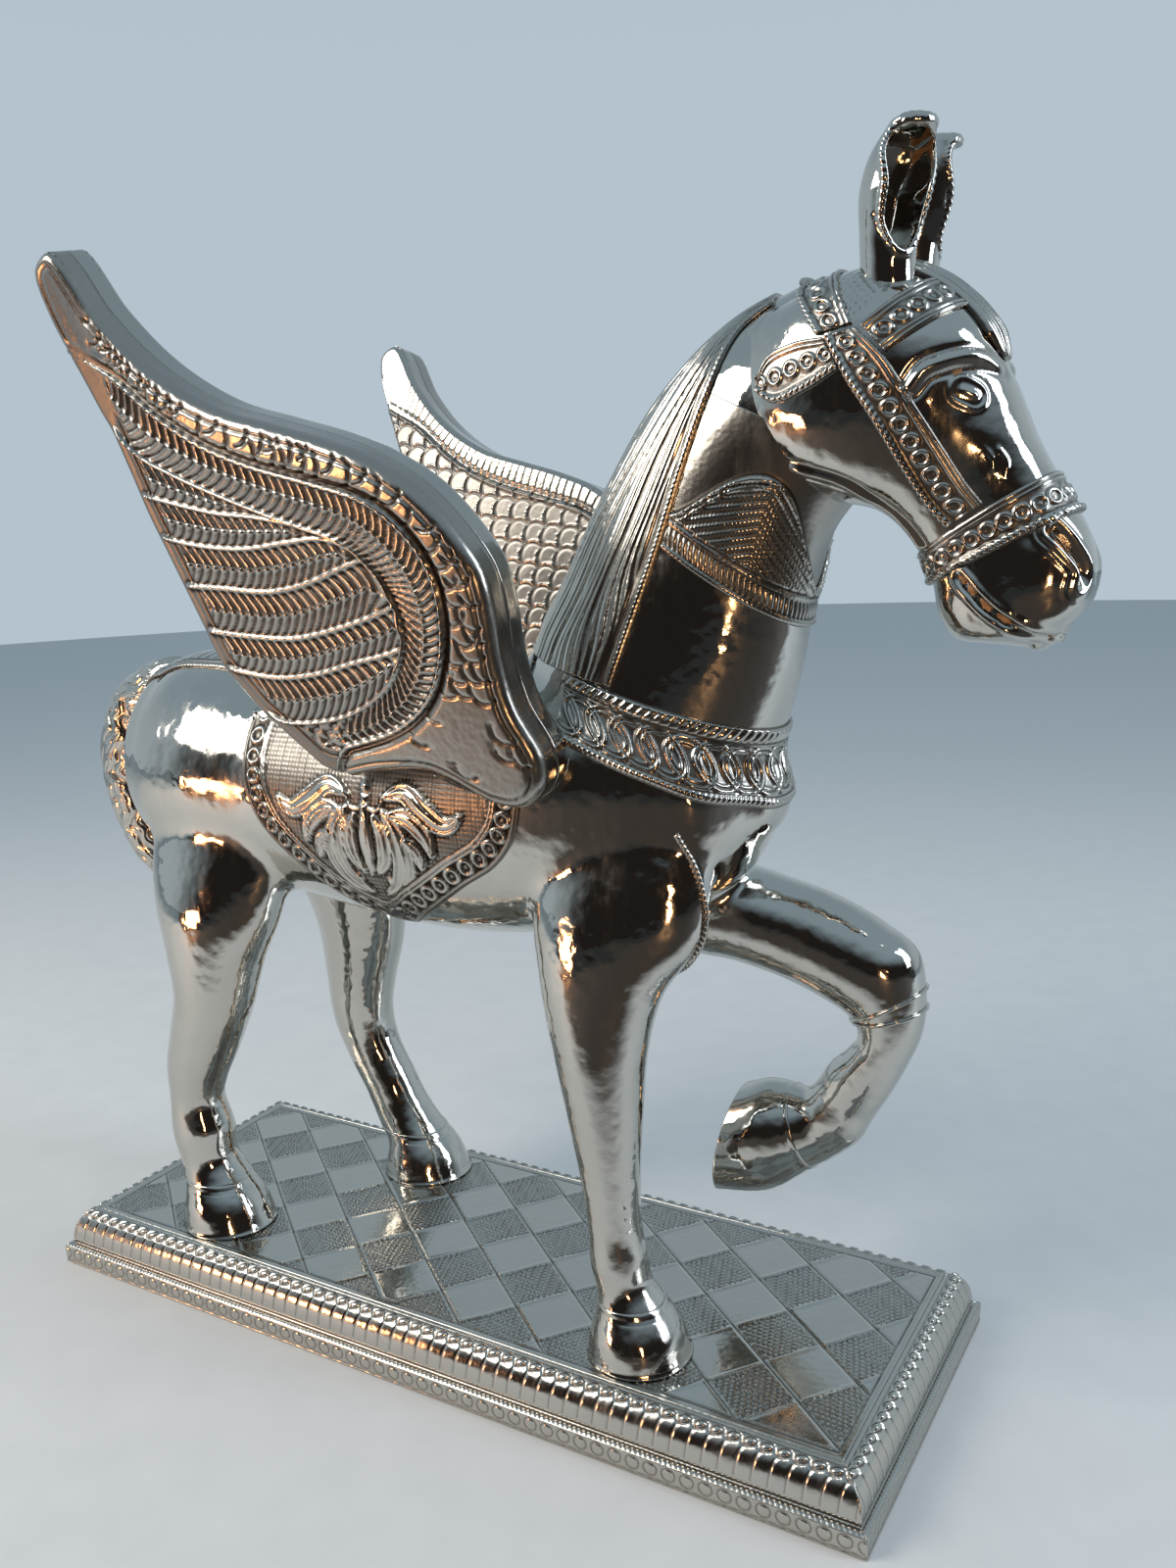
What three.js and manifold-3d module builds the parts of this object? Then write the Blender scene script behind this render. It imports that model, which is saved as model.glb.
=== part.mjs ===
// A winged horse on a plinth: carved wood clad in thin white-metal sheet.
// Millimetres. +X is where the horse looks, +Z is up, +Y is the horse's left.
// The origin is the middle of the plinth's underside.
import * as THREE from 'three';
import { mergeVertices } from 'three/addons/utils/BufferGeometryUtils.js';
import Module from 'manifold-3d';

const wasm = await Module();
wasm.setup();

// Plinth
const plinthLength = 406;
const plinthWidth = 152;
const plinthHeight = 25.4;
const rimHeight = 8.7;          // upright edge below the moulding
const rimLedge = 3;             // step from the upright edge in to the moulding
const mouldingWidth = 12.5;     // from the plinth's edge in to the top sheet
const mouldingUndercut = 2;     // how far the moulding's roundest level stands above the ledge

// Sheet metal and fits
const sheet = 0.6;              // cladding sheet
const trim = 1.2;               // stamped bands and cloths over the cladding
const forelockThickness = 4.5;  // the lock of hair between the ears
const lockRise = 0.9;           // how far the mane's locks and its border stand proud
const lockWidth = 5;
const lockPitch = 9;
const maneDepth = 45;           // from the mane's lower edge to its crest
const maneBorder = 3;           // width of the milled border along the mane's lower edge
const gap = 0.3;                // clearance between neighbouring pieces
const openEnd = 3;              // how far a lining is pushed out through the open end of its shell

// Wings
const wingThickness = 20;
const wingRounding = 5;
const wingTilt = 10.8;          // degrees that each wing leans outwards
const wingRoot = [66, 221];     // the root's lower corner, x and height above the plinth
const wingRootOut = 60;         // outer face of the wing at its root, from the middle plane
const wingSeat = 235;           // below this the wing's board lies bare against the body
const leftWingScale = 0.86;     // the left wing's outline is carved this much smaller
const leftWingRaise = 4;        // and it sits this much higher
const bandRise = 2.4;           // how far the leading band stands proud of the wing's board
const vaneRise = 0.8;           // and the feathers
const ribRise = 2;              // and the ribs between the feathers
const ribWidth = 2.6;
const reliefMargin = 3.5;       // from the wing's outline in to its relief

// Fasteners
const screwShank = 4;
const screwHead = 8;
const screwSink = 0.5;
const screwReach = 32;          // how far a screw goes up into a hoof
const dowelDiameter = 8;
const rodSides = 8;

// How far the horse's feet stand from the middle plane
const rightStance = 40;
const leftStance = 43;

const coronet = 21;             // top of a standing hoof, above the plinth
const far = 600;                // past the whole sculpture, for tools that cut right through

// Seams where two sheets of one limb meet: a point on the seam's plane and the way it faces, in degrees
const kneeSeam = { point: [176, 134], heading: -65 };
const raisedCoronet = { point: [138.5, 71], heading: 198 };

const wood = new THREE.MeshStandardMaterial({ color: 0x8a6541, roughness: 0.75, metalness: 0 });
const whiteMetal = new THREE.MeshStandardMaterial({ color: 0xc9cac6, roughness: 0.16, metalness: 1 });
const steel = new THREE.MeshStandardMaterial({ color: 0x8d9094, roughness: 0.4, metalness: 1 });

const sculpture = new THREE.Group();

// Solids

// A closed solid from a geometry whose faces share their corner points.
function solidOf(geometry) {
  const bare = geometry.index ? geometry.toNonIndexed() : geometry.clone();
  bare.deleteAttribute('normal');
  bare.deleteAttribute('uv');
  const merged = mergeVertices(bare, 1e-4);
  return new wasm.Manifold(new wasm.Mesh({
    numProp: 3,
    vertProperties: Float32Array.from(merged.attributes.position.array),
    triVerts: Uint32Array.from(merged.index.array),
  }));
}

// A closed solid from corner points and triangles, turned outwards whichever way round they were given.
function facedSolid(positions, faces, turn = 0) {
  const spans = ([a, b, c]) => positions[a].dot(positions[b].clone().cross(positions[c]));
  const volume = faces.reduce((sum, face) => sum + spans(face), 0);
  const geometry = new THREE.BufferGeometry().setFromPoints(positions);
  geometry.setIndex(faces.flatMap(([a, b, c]) => (volume > 0 ? [a, b, c] : [a, c, b])));
  return solidOf(geometry.rotateZ(turn));
}

function geometryOf(solid) {
  const { vertProperties, triVerts } = solid.getMesh();
  const geometry = new THREE.BufferGeometry();
  geometry.setAttribute('position', new THREE.BufferAttribute(vertProperties, 3));
  geometry.setIndex(new THREE.BufferAttribute(triVerts, 1));
  return geometry;
}

function addPiece(name, solid, material) {
  const geometry = geometryOf(solid);
  geometry.computeVertexNormals();
  const mesh = new THREE.Mesh(geometry, material);
  mesh.name = name;
  sculpture.add(mesh);
}

const joined = (solids) => solids.reduce((whole, next) => whole.add(next));
const cut = (solid, ...tools) => tools.reduce((rest, tool) => rest.subtract(tool), solid);

function box(low, high) {
  const size = high.map((value, axis) => value - low[axis]);
  const middle = high.map((value, axis) => (value + low[axis]) / 2);
  return solidOf(new THREE.BoxGeometry(...size).translate(...middle));
}

function rod(from, to, diameter, endDiameter = diameter) {
  const start = new THREE.Vector3(...from);
  const run = new THREE.Vector3(...to).sub(start);
  const cylinder = new THREE.CylinderGeometry(endDiameter / 2, diameter / 2, run.length(), rodSides);
  const turn = new THREE.Quaternion().setFromUnitVectors(new THREE.Vector3(0, 1, 0), run.clone().normalize());
  cylinder.applyQuaternion(turn).translate(...start.addScaledVector(run, 0.5).toArray());
  return solidOf(cylinder);
}

// An outline in side view, [x, height above the plinth], pushed across the horse from one y to another.
function sidePrism(outline, fromY, toY) {
  const shape = new THREE.Shape(outline.map(([x, z]) => new THREE.Vector2(x, z + plinthHeight)));
  const prism = new THREE.ExtrudeGeometry(shape, { depth: toY - fromY, bevelEnabled: false });
  return solidOf(prism.rotateX(Math.PI / 2).translate(0, toY, 0));
}

// The half of space on one side of a plane that crosses the middle plane in a line through `point`.
// `heading` is the direction, in degrees up from +X, that the kept half lies in.
function halfSpace(point, heading) {
  const block = new THREE.BoxGeometry(far, far, far).translate(far / 2, 0, 0);
  block.rotateY(THREE.MathUtils.degToRad(-heading)).translate(point[0], 0, point[1] + plinthHeight);
  return solidOf(block);
}

// The two sides of a seam, each half a clearance away from it.
const pastSeam = ({ point, heading }) => {
  const angle = THREE.MathUtils.degToRad(heading);
  const shift = [point[0] + (Math.cos(angle) * gap) / 2, point[1] + (Math.sin(angle) * gap) / 2];
  return halfSpace(shift, heading);
};
const beforeSeam = ({ point, heading }) => pastSeam({ point, heading: heading + 180 });

// Forms: the carved shapes, drawn through cross sections

// One cross section: its two ends in side view, its half width across, and the y of its middle.
const section = (under, over, half, y = 0) => ({ under, over, half, y });

// Sections square to a path whose points are [x, height, half depth, half width, y].
function sectionsAlong(path) {
  return path.map(([x, z, reach, half, y], i) => {
    const before = path[Math.max(i - 1, 0)];
    const after = path[Math.min(i + 1, path.length - 1)];
    const run = new THREE.Vector2(after[0] - before[0], after[1] - before[1]).normalize();
    return section([x + run.y * reach, z - run.x * reach], [x - run.y * reach, z + run.x * reach], half, y);
  });
}

// The solid of a form, shrunk by `inset` all over. `every` keeps only each so-manieth point round a section.
// `open` pushes the last section out, so that a lining leaves that end of its shell open.
// `fullness` is 1 for an oval section and less for one with fuller corners.
function formSolid({ sections, sides, open = false, fullness = 1 }, inset = 0, every = 1) {
  const fuller = (value) => Math.sign(value) * Math.abs(value) ** fullness;
  const rings = sections.map(({ under, over, half, y }) => {
    const points = [];
    for (let k = 0; k < sides; k += 1) {
      const angle = (2 * Math.PI * k) / sides;
      const along = (1 + fuller(Math.cos(angle))) / 2;
      points.push(new THREE.Vector3(
        under[0] + (over[0] - under[0]) * along,
        y + half * fuller(Math.sin(angle)),
        under[1] + (over[1] - under[1]) * along + plinthHeight,
      ));
    }
    return points;
  });
  const last = rings.length - 1;
  const middleOf = (ring) => ring.reduce((sum, p) => sum.add(p), new THREE.Vector3()).divideScalar(sides);
  const centres = rings.map(middleOf);
  const normalAt = (i, k) => {
    const round = rings[i][(k + 1) % sides].clone().sub(rings[i][(k + sides - 1) % sides]);
    const along = rings[Math.min(i + 1, last)][k].clone().sub(rings[Math.max(i - 1, 0)][k]);
    const normal = round.cross(along).normalize();
    const outward = rings[i][k].clone().sub(centres[i]);
    return normal.dot(outward) < 0 ? normal.negate() : normal;
  };
  const endShift = (i) => {
    if (i !== 0 && i !== last) return new THREE.Vector3();
    const inward = centres[i === 0 ? 1 : last - 1].clone().sub(centres[i]).normalize();
    return inward.multiplyScalar(i === last && open && inset > 0 ? -openEnd : inset);
  };
  const shrunk = rings.map((ring, i) => ring
    .map((p, k) => p.clone().addScaledVector(normalAt(i, k), -inset).add(endShift(i)))
    .filter((p, k) => k % every === 0));
  const count = sides / every;
  const positions = shrunk.flat();
  const startCap = positions.length;
  positions.push(centres[0].clone().add(endShift(0)), centres[last].clone().add(endShift(last)));
  const faces = [];
  for (let k = 0; k < count; k += 1) {
    const next = (k + 1) % count;
    faces.push([startCap, next, k], [startCap + 1, last * count + k, last * count + next]);
    for (let i = 0; i < last; i += 1) {
      const here = i * count;
      const there = here + count;
      faces.push([here + k, here + next, there + next], [here + k, there + next, there + k]);
    }
  }
  return facedSolid(positions, faces);
}

const trunkForm = {
  sides: 14,
  sections: [
    section([-177, 207], [-176, 236], 14),
    section([-171, 183], [-170, 254], 32),
    section([-156, 167], [-154, 264], 44),
    section([-126, 160], [-126, 267], 50),
    section([-85, 159], [-85, 262], 48),
    section([-40, 154], [-40, 258], 50),
    section([5, 152], [5, 262], 52),
    section([45, 156], [45, 273], 52),
    section([82, 166], [84, 277], 50),
    section([112, 178], [113, 267], 43),
    section([130, 190], [131, 251], 33),
    section([140, 206], [140, 234], 16),
  ],
};

const neckForm = {
  sides: 14,
  sections: [
    section([132, 208], [52, 240], 40),
    section([142, 238], [46, 274], 40),
    section([151, 268], [62, 305], 35),
    section([156, 294], [80, 337], 31),
    section([162, 315], [104, 368], 28),
    section([171, 327], [131, 389], 26),
    section([176, 334], [156, 399], 22),
  ],
};

const headForm = {
  sides: 14,
  fullness: 0.8,
  sections: [
    section([127, 368], [152, 393], 18),
    section([131, 349], [172, 400], 26),
    section([148, 333], [196, 396], 31),
    section([166, 326], [214, 381], 30),
    section([182, 322], [224, 362], 26),
    section([193, 312], [232, 343], 21.5),
    section([200, 298], [241, 327], 19),
    section([203, 286], [249, 312], 20),
    section([210, 279], [251, 300], 19),
    section([222, 278], [248, 289], 15),
    section([231, 277], [241, 282], 7),
  ],
};

const rightForeForm = {
  sides: 10,
  open: true,
  sections: sectionsAlong([
    [97, 208, 32, 17, -28],
    [91, 180, 36, 19, -34],
    [85, 150, 25, 19.5, -38],
    [85, 122, 18.3, 17.5, -rightStance],
    [86, 99, 15, 15, -rightStance],
    [87.5, 70, 11.6, 12, -rightStance],
    [88.7, 48, 10.8, 11, -rightStance],
    [90, 37, 11.6, 11.8, -rightStance],
    [92, 27, 11.2, 11.5, -rightStance],
    [93.5, 21, 13.5, 13.5, -rightStance],
    [96, 10, 18.5, 18.5, -rightStance],
    [98, -5, 21.5, 21.5, -rightStance],
  ]),
};

const rightHindForm = {
  sides: 10,
  open: true,
  sections: sectionsAlong([
    [-122, 205, 34, 17, -26],
    [-117, 180, 40, 19.5, -31],
    [-117, 155, 33.5, 21, -36],
    [-119, 133, 24.5, 19.5, -38.5],
    [-121.5, 112, 19.5, 17, -rightStance],
    [-130, 91, 17.2, 15.2, -rightStance],
    [-137, 74, 14.8, 13.8, -rightStance],
    [-139, 61, 13, 12.5, -rightStance],
    [-137, 44, 15, 14, -rightStance],
    [-134, 28, 13.5, 13.5, -rightStance],
    [-131.5, 21, 15, 15, -rightStance],
    [-128, 10, 19.5, 19, -rightStance],
    [-125, -5, 23, 22, -rightStance],
  ]),
};

const leftHindForm = {
  sides: 10,
  open: true,
  sections: sectionsAlong([
    [-112, 205, 34, 17, 26],
    [-107, 180, 37, 19.5, 31],
    [-99, 150, 29, 20.5, 37],
    [-100, 124, 23.5, 18, 41],
    [-104, 98, 18.5, 15.8, leftStance],
    [-104.5, 78, 16, 14.3, leftStance],
    [-98, 58, 14, 13, leftStance],
    [-90, 44, 13.5, 13, leftStance],
    [-83, 30, 14, 13.5, leftStance],
    [-76, 19, 15, 15, leftStance],
    [-72, 9, 19.5, 19, leftStance],
    [-69, -5, 23, 22, leftStance],
  ]),
};

const leftForeForm = {
  sides: 10,
  sections: [
    section([94, 150], [106, 196], 18, 20),
    section([98, 147], [112, 189], 20, 22),
    section([114, 144], [131, 181], 19.5, 26),
    section([134, 138], [152, 174], 19, 30),
    section([150, 131], [172, 164], 18, 32),
    section([158, 126], [186, 153], 16.5, 33),
    section([161.5, 122], [189, 136], 14.5, 33.5),
    section([162, 116], [187.5, 120], 13.5, 34),
    section([157, 109], [182, 106], 13, 34),
    section([150, 102], [175, 92], 13, 34.5),
    section([145, 94], [168, 80], 13, 35),
    section([141, 89], [162, 69], 13.5, 35),
    section([138, 87.5], [152, 60], 13.5, 35),
    section([133, 88], [144, 54], 15.5, 35),
    section([122, 88], [125, 40], 20, 35),
    section([111, 84], [102, 35], 21.5, 35),
  ],
};

const tailForm = {
  sides: 8,
  sections: sectionsAlong([
    [-150, 254, 9, 10, 0],
    [-174, 251, 12, 13, 0],
    [-192, 240, 15, 14, 0],
    [-200, 219, 20, 15, 0],
    [-199, 195, 19.5, 14, 0],
    [-192, 172, 15, 12, 0],
    [-181, 151, 5, 6, 0],
  ]),
};

const earForm = (side) => ({
  sides: 8,
  sections: [
    section([178, 390], [195, 390], 7, side * 12),
    section([177.5, 408], [196, 407], 8.5, side * 13),
    section([178, 424], [200, 422], 10, side * 14),
    section([184, 436], [202, 434], 7.5, side * 14.5),
    section([194, 443], [200, 442], 3, side * 14.5),
  ],
});

const earCupForm = (side) => ({
  sides: 6,
  sections: [
    section([193, 404], [204, 403], 2.5, side * 14),
    section([186, 418], [209, 416], 6, side * 15),
    section([193, 436], [209, 434], 3.5, side * 15),
  ],
});

// The three nested surfaces of a clad form: the sheet's outside, the sheet's inside and the wood.
const skin = (form) => formSolid(form, 0);
const lining = (form) => formSolid(form, sheet);
const core = (form) => formSolid(form, sheet + gap, 2);
const swollen = (form, by) => formSolid(form, -by);

const trunkSkin = skin(trunkForm);
const trunkLining = lining(trunkForm);
const trunkClear = swollen(trunkForm, gap);
const neckLining = lining(neckForm);
const headLining = lining(headForm);
const headClear = swollen(headForm, gap);
const legForms = {
  right_fore: rightForeForm,
  left_fore: leftForeForm,
  right_hind: rightHindForm,
  left_hind: leftHindForm,
};
const abovePlinth = box([-far, -far, plinthHeight + gap], [far, far, far]);
const legLinings = Object.values(legForms).map(lining);
const legsClear = joined(Object.values(legForms).map((form) => swollen(form, gap)));

// Plinth: a board with a moulded edge, and the sheet over it

const halfLength = plinthLength / 2;
const halfWidth = plinthWidth / 2;
const mouldingSteps = 8;

// The moulding's outline as [distance in from the plinth's edge, height], from the ledge to the top.
function mouldingOutline(inset) {
  const middle = rimHeight + mouldingUndercut;
  const width = mouldingWidth - rimLedge - inset;
  const height = plinthHeight - middle - inset;
  const start = -Math.asin((mouldingUndercut + inset) / height);
  return Array.from({ length: mouldingSteps + 1 }, (_, i) => {
    const angle = start + ((Math.PI / 2 - start) * i) / mouldingSteps;
    return [mouldingWidth - width * Math.cos(angle), middle + height * Math.sin(angle)];
  });
}

// A solid built from level rectangles, each [inset from the plinth's edge, height].
function stackedRectangles(levels) {
  const corners = [[1, 1], [-1, 1], [-1, -1], [1, -1]];
  const positions = levels.flatMap(([inset, z]) => corners
    .map(([sx, sy]) => new THREE.Vector3(sx * (halfLength - inset), sy * (halfWidth - inset), z)));
  const faces = [];
  const top = (levels.length - 1) * 4;
  faces.push([0, 2, 1], [0, 3, 2], [top, top + 1, top + 2], [top, top + 2, top + 3]);
  for (let i = 0; i < top; i += 4) {
    for (let k = 0; k < 4; k += 1) {
      const next = (k + 1) % 4;
      faces.push([i + k, i + next, i + 4 + next], [i + k, i + 4 + next, i + 4 + k]);
    }
  }
  return facedSolid(positions, faces);
}

// A strip of one closed cross section along one side of the plinth, mitred to its neighbours.
function mitredStrip(outline, sideIndex) {
  const alongX = sideIndex % 2 === 0;
  const reach = alongX ? halfWidth : halfLength;
  const run = alongX ? halfLength : halfWidth;
  const flat = outline.map(([inset, z]) => new THREE.Vector2(inset, z));
  if (THREE.ShapeUtils.isClockWise(flat)) flat.reverse();
  const count = flat.length;
  const positions = [-1, 1].flatMap((end) => flat
    .map(({ x: inset, y: z }) => new THREE.Vector3(end * (run - inset - gap / 2), inset - reach, z)));
  const faces = THREE.ShapeUtils.triangulateShape(flat, [])
    .flatMap(([a, b, c]) => [[a, c, b], [a + count, b + count, c + count]]);
  for (let k = 0; k < count; k += 1) {
    const next = (k + 1) % count;
    faces.push([k, next, next + count], [k, next + count, k + count]);
  }
  return facedSolid(positions, faces, (sideIndex * Math.PI) / 2);
}

const screwPlaces = {
  right_fore: [95, -rightStance],
  right_hind: [-128, -rightStance],
  left_hind: [-74, leftStance],
};

function screw([x, y]) {
  const seat = screwSink + (screwHead - screwShank) / 2;
  const head = rod([x, y, screwSink], [x, y, seat], screwHead, screwShank);
  const shank = rod([x, y, seat], [x, y, plinthHeight + screwReach], screwShank);
  return head.add(shank);
}

function screwHole([x, y]) {
  const seat = screwSink + (screwHead - screwShank) / 2;
  const mouth = rod([x, y, -1], [x, y, screwSink], screwHead + 2 * gap);
  const shankRoom = screwShank + 2 * gap;
  const sink = rod([x, y, screwSink - 0.01], [x, y, seat + 0.01], screwHead + 2 * gap, shankRoom);
  const bore = rod([x, y, seat], [x, y, plinthHeight + screwReach + gap], shankRoom);
  return joined([mouth, sink, bore]);
}

const sideNames = ['right', 'head_end', 'left', 'tail_end'];

const screwHoles = joined(Object.values(screwPlaces).map(screwHole));

const boardEdge = sheet + gap;
const boardLevels = [
  [boardEdge, 0],
  [boardEdge, rimHeight - sheet - gap],
  ...mouldingOutline(sheet + gap).map(([inset, z]) => [Math.max(inset, boardEdge), z]),
];
addPiece('plinth_board', cut(stackedRectangles(boardLevels), screwHoles), wood);

const topSheetEdge = mouldingWidth + gap;
const topSheet = box(
  [-halfLength + topSheetEdge, -halfWidth + topSheetEdge, plinthHeight - sheet],
  [halfLength - topSheetEdge, halfWidth - topSheetEdge, plinthHeight],
);
addPiece('plinth_top_sheet', cut(topSheet, screwHoles), whiteMetal);

const edgeSection = [
  [0, gap],
  [0, rimHeight],
  ...mouldingOutline(0),
  ...mouldingOutline(sheet).reverse(),
  [sheet, rimHeight - sheet],
  [sheet, gap],
];
sideNames.forEach((name, side) => {
  addPiece(`plinth_edge_sheet_${name}`, mitredStrip(edgeSection, side), whiteMetal);
});
Object.entries(screwPlaces).forEach(([name, place]) => addPiece(`${name}_leg_screw`, screw(place), steel));

// Dowels that peg the carved pieces together: [from, to], heights above the plinth

const dowelRuns = {
  right_fore_leg: [[88, -34, 150], [90, -28, 205]],
  right_hind_leg: [[-118, -34, 140], [-116, -26, 200]],
  left_hind_leg: [[-100, 34, 140], [-106, 26, 200]],
  left_fore_leg: [[130, 27, 162], [88, 12, 182]],
  neck: [[100, 0, 235], [104, 0, 300]],
  head: [[134, 0, 318], [168, 0, 360]],
  tail: [[-200, 0, 226], [-150, 0, 226]],
  right_wing: [[46, -56, 246], [46, -28, 246]],
  left_wing: [[46, 56, 246], [46, 28, 246]],
};
const lifted = ([x, y, z]) => [x, y, z + plinthHeight];
const dowel = ([from, to], grow = 0) => {
  const start = new THREE.Vector3(...lifted(from));
  const end = new THREE.Vector3(...lifted(to));
  const run = end.clone().sub(start).normalize().multiplyScalar(grow);
  return rod(start.sub(run).toArray(), end.add(run).toArray(), dowelDiameter + 2 * grow);
};
const dowelHoles = joined(Object.values(dowelRuns).map((run) => dowel(run, gap)));

// Horse

const trunkShell = cut(trunkSkin, trunkLining, neckLining, ...legLinings, lining(tailForm), dowelHoles);
const rightHalf = box([-far, -far, 0], [far, -gap / 2, far]);
const leftHalf = box([-far, gap / 2, 0], [far, far, far]);
addPiece('trunk_wood', cut(core(trunkForm), dowelHoles), wood);
addPiece('trunk_sheet_right', trunkShell.intersect(rightHalf), whiteMetal);
addPiece('trunk_sheet_left', trunkShell.intersect(leftHalf), whiteMetal);

addPiece('neck_wood', cut(core(neckForm), trunkLining, headLining, dowelHoles), wood);
addPiece('neck_sheet', cut(skin(neckForm), neckLining, trunkClear, headClear), whiteMetal);

const earLinings = [-1, 1].map((side) => lining(earForm(side)));
const headShell = cut(skin(headForm), headLining, neckLining, ...earLinings);
addPiece('head_sheet', headShell, whiteMetal);

const bodySwollen = (by) => swollen(trunkForm, by).add(swollen(neckForm, by));
const bodyClear = bodySwollen(2 * gap + trim);
const bodyBand = cut(bodySwollen(gap + trim), bodySwollen(gap));

['right_fore', 'right_hind', 'left_hind'].forEach((name) => {
  const form = legForms[name];
  const legWood = cut(core(form).intersect(abovePlinth), trunkLining, screwHoles, dowelHoles);
  addPiece(`${name}_leg_wood`, legWood, wood);
  const clad = cut(skin(form).intersect(abovePlinth), lining(form), trunkClear);
  const seam = { point: [0, coronet], heading: -90 };
  addPiece(`${name}_leg_sheet`, clad.intersect(beforeSeam(seam)), whiteMetal);
  addPiece(`${name}_hoof_sheet`, clad.intersect(pastSeam(seam)), whiteMetal);
});

const raisedWood = cut(core(leftForeForm), trunkLining, dowelHoles);
const raisedShell = cut(skin(leftForeForm), lining(leftForeForm), trunkClear, dowelHoles);
addPiece('left_forearm_wood', raisedWood.intersect(beforeSeam(kneeSeam)), wood);
addPiece('left_shin_wood', raisedWood.intersect(pastSeam(kneeSeam)), wood);
addPiece('left_forearm_sheet', raisedShell.intersect(beforeSeam(kneeSeam)), whiteMetal);
const shinShell = raisedShell.intersect(pastSeam(kneeSeam));
addPiece('left_shin_sheet', shinShell.intersect(beforeSeam(raisedCoronet)), whiteMetal);
addPiece('left_fore_hoof_sheet', shinShell.intersect(pastSeam(raisedCoronet)), whiteMetal);

addPiece('tail_wood', cut(core(tailForm), trunkLining, dowelHoles), wood);
addPiece('tail_sheet', cut(skin(tailForm), lining(tailForm), trunkClear, dowelHoles), whiteMetal);

const ear = (side, inset) => cut(formSolid(earForm(side), inset), formSolid(earCupForm(side), -inset));
const earWoods = [-1, 1].map((side) => ear(side, sheet + gap));
addPiece('head_wood', cut(joined([core(headForm), ...earWoods]), dowelHoles), wood);
[['right', -1], ['left', 1]].forEach(([name, side]) => {
  addPiece(`${name}_ear_sheet`, cut(ear(side, 0), ear(side, sheet), headClear), whiteMetal);
});

// Wings

// The wing's outline in its own plane, [forward, up] from its root.
const wingOutline = [
  [-181, 204], [-172, 210], [-155, 187], [-132, 164], [-108, 150], [-82, 142], [-58, 135], [-38, 127],
  [-22, 117], [-9, 103], [0, 88], [2, 72], [2, 56], [5, 38], [13, 20], [12, 9], [3, 1], [-9, 1],
  [-36, 12], [-58, 11], [-76, 7], [-92, 11], [-116, 31], [-133, 52], [-143, 82], [-153, 112],
  [-161, 143], [-169, 162], [-179, 188],
];

// An outline moved inwards by `distance`.
function shrunkOutline(outline, distance) {
  const count = outline.length;
  return outline.map(([x, y], i) => {
    const before = outline[(i + count - 1) % count];
    const after = outline[(i + 1) % count];
    const edgeIn = new THREE.Vector2(x - before[0], y - before[1]).normalize();
    const edgeOut = new THREE.Vector2(after[0] - x, after[1] - y).normalize();
    const normal = new THREE.Vector2(edgeIn.y + edgeOut.y, -edgeIn.x - edgeOut.x).normalize();
    const stretch = distance / Math.max(0.5, Math.sqrt((1 + edgeIn.dot(edgeOut)) / 2));
    return [x + normal.x * stretch, y + normal.y * stretch];
  });
}

// The wing board in its own plane: outline in x and y, thickness in z down from the face at 0.
function wingBoard(scale, inset) {
  const outline = wingOutline.map(([x, y]) => [x * scale, y * scale]);
  const levels = [
    [inset - wingThickness, inset + wingRounding],
    [wingRounding - wingThickness, inset],
    [-wingRounding, inset],
    [-inset, inset + wingRounding],
  ];
  const rings = levels.map(([depth, shrink]) => shrunkOutline(outline, shrink).reverse()
    .map(([x, y]) => new THREE.Vector3(x, y, depth)));
  const count = outline.length;
  const top = (levels.length - 1) * count;
  const cap = THREE.ShapeUtils.triangulateShape(rings[0].map(({ x, y }) => new THREE.Vector2(x, y)), []);
  const faces = cap.flatMap(([a, b, c]) => [[a, c, b], [top + a, top + b, top + c]]);
  for (let i = 0; i < top; i += count) {
    for (let k = 0; k < count; k += 1) {
      const next = (k + 1) % count;
      faces.push([i + k, i + next, i + count + next], [i + k, i + count + next, i + count + k]);
    }
  }
  return facedSolid(rings.flat(), faces);
}

// The strip beside a bent line, from one distance on its left to another, as an outline.
function stripBeside(line, from, to) {
  const shifted = (distance) => line.map(([x, y], i) => {
    const before = line[Math.max(i - 1, 0)];
    const after = line[Math.min(i + 1, line.length - 1)];
    const run = new THREE.Vector2(after[0] - before[0], after[1] - before[1]).normalize();
    return [x - run.y * distance, y + run.x * distance];
  });
  return [...shifted(from), ...shifted(to).reverse()];
}

// The lines chased on a wing's outer face, [forward, up] like its outline
const wingCrease = [
  [-132, 152], [-112, 139], [-91, 130], [-64, 123], [-41, 115], [-29, 107], [-21, 97], [-16, 86], [-16, 72],
  [-19, 57], [-26, 43], [-36, 33], [-52, 24], [-67, 20],
];
const wingRibs = [
  [[-158, 145], [-146, 134], [-110, 118], [-73, 105], [-58, 100], [-47, 92], [-39, 80], [-37, 66], [-43, 51],
    [-56, 40], [-70, 33], [-86, 30], [-105, 30], [-114, 34]],
  [[-150, 119], [-128, 114], [-98, 110]],
  [[-148, 104], [-129, 100], [-104, 98], [-82, 100], [-58, 100]],
  [[-139, 84], [-121, 83], [-94, 82], [-75, 85], [-50, 92]],
  [[-132, 66], [-111, 64], [-88, 63], [-67, 67], [-42, 75]],
  [[-124, 50], [-100, 47], [-81, 50], [-50, 57], [-40, 60]],
];
const bandFrom = 3;             // the leading band lies between the crease and these points of the outline
const bandTo = 20;

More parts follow.
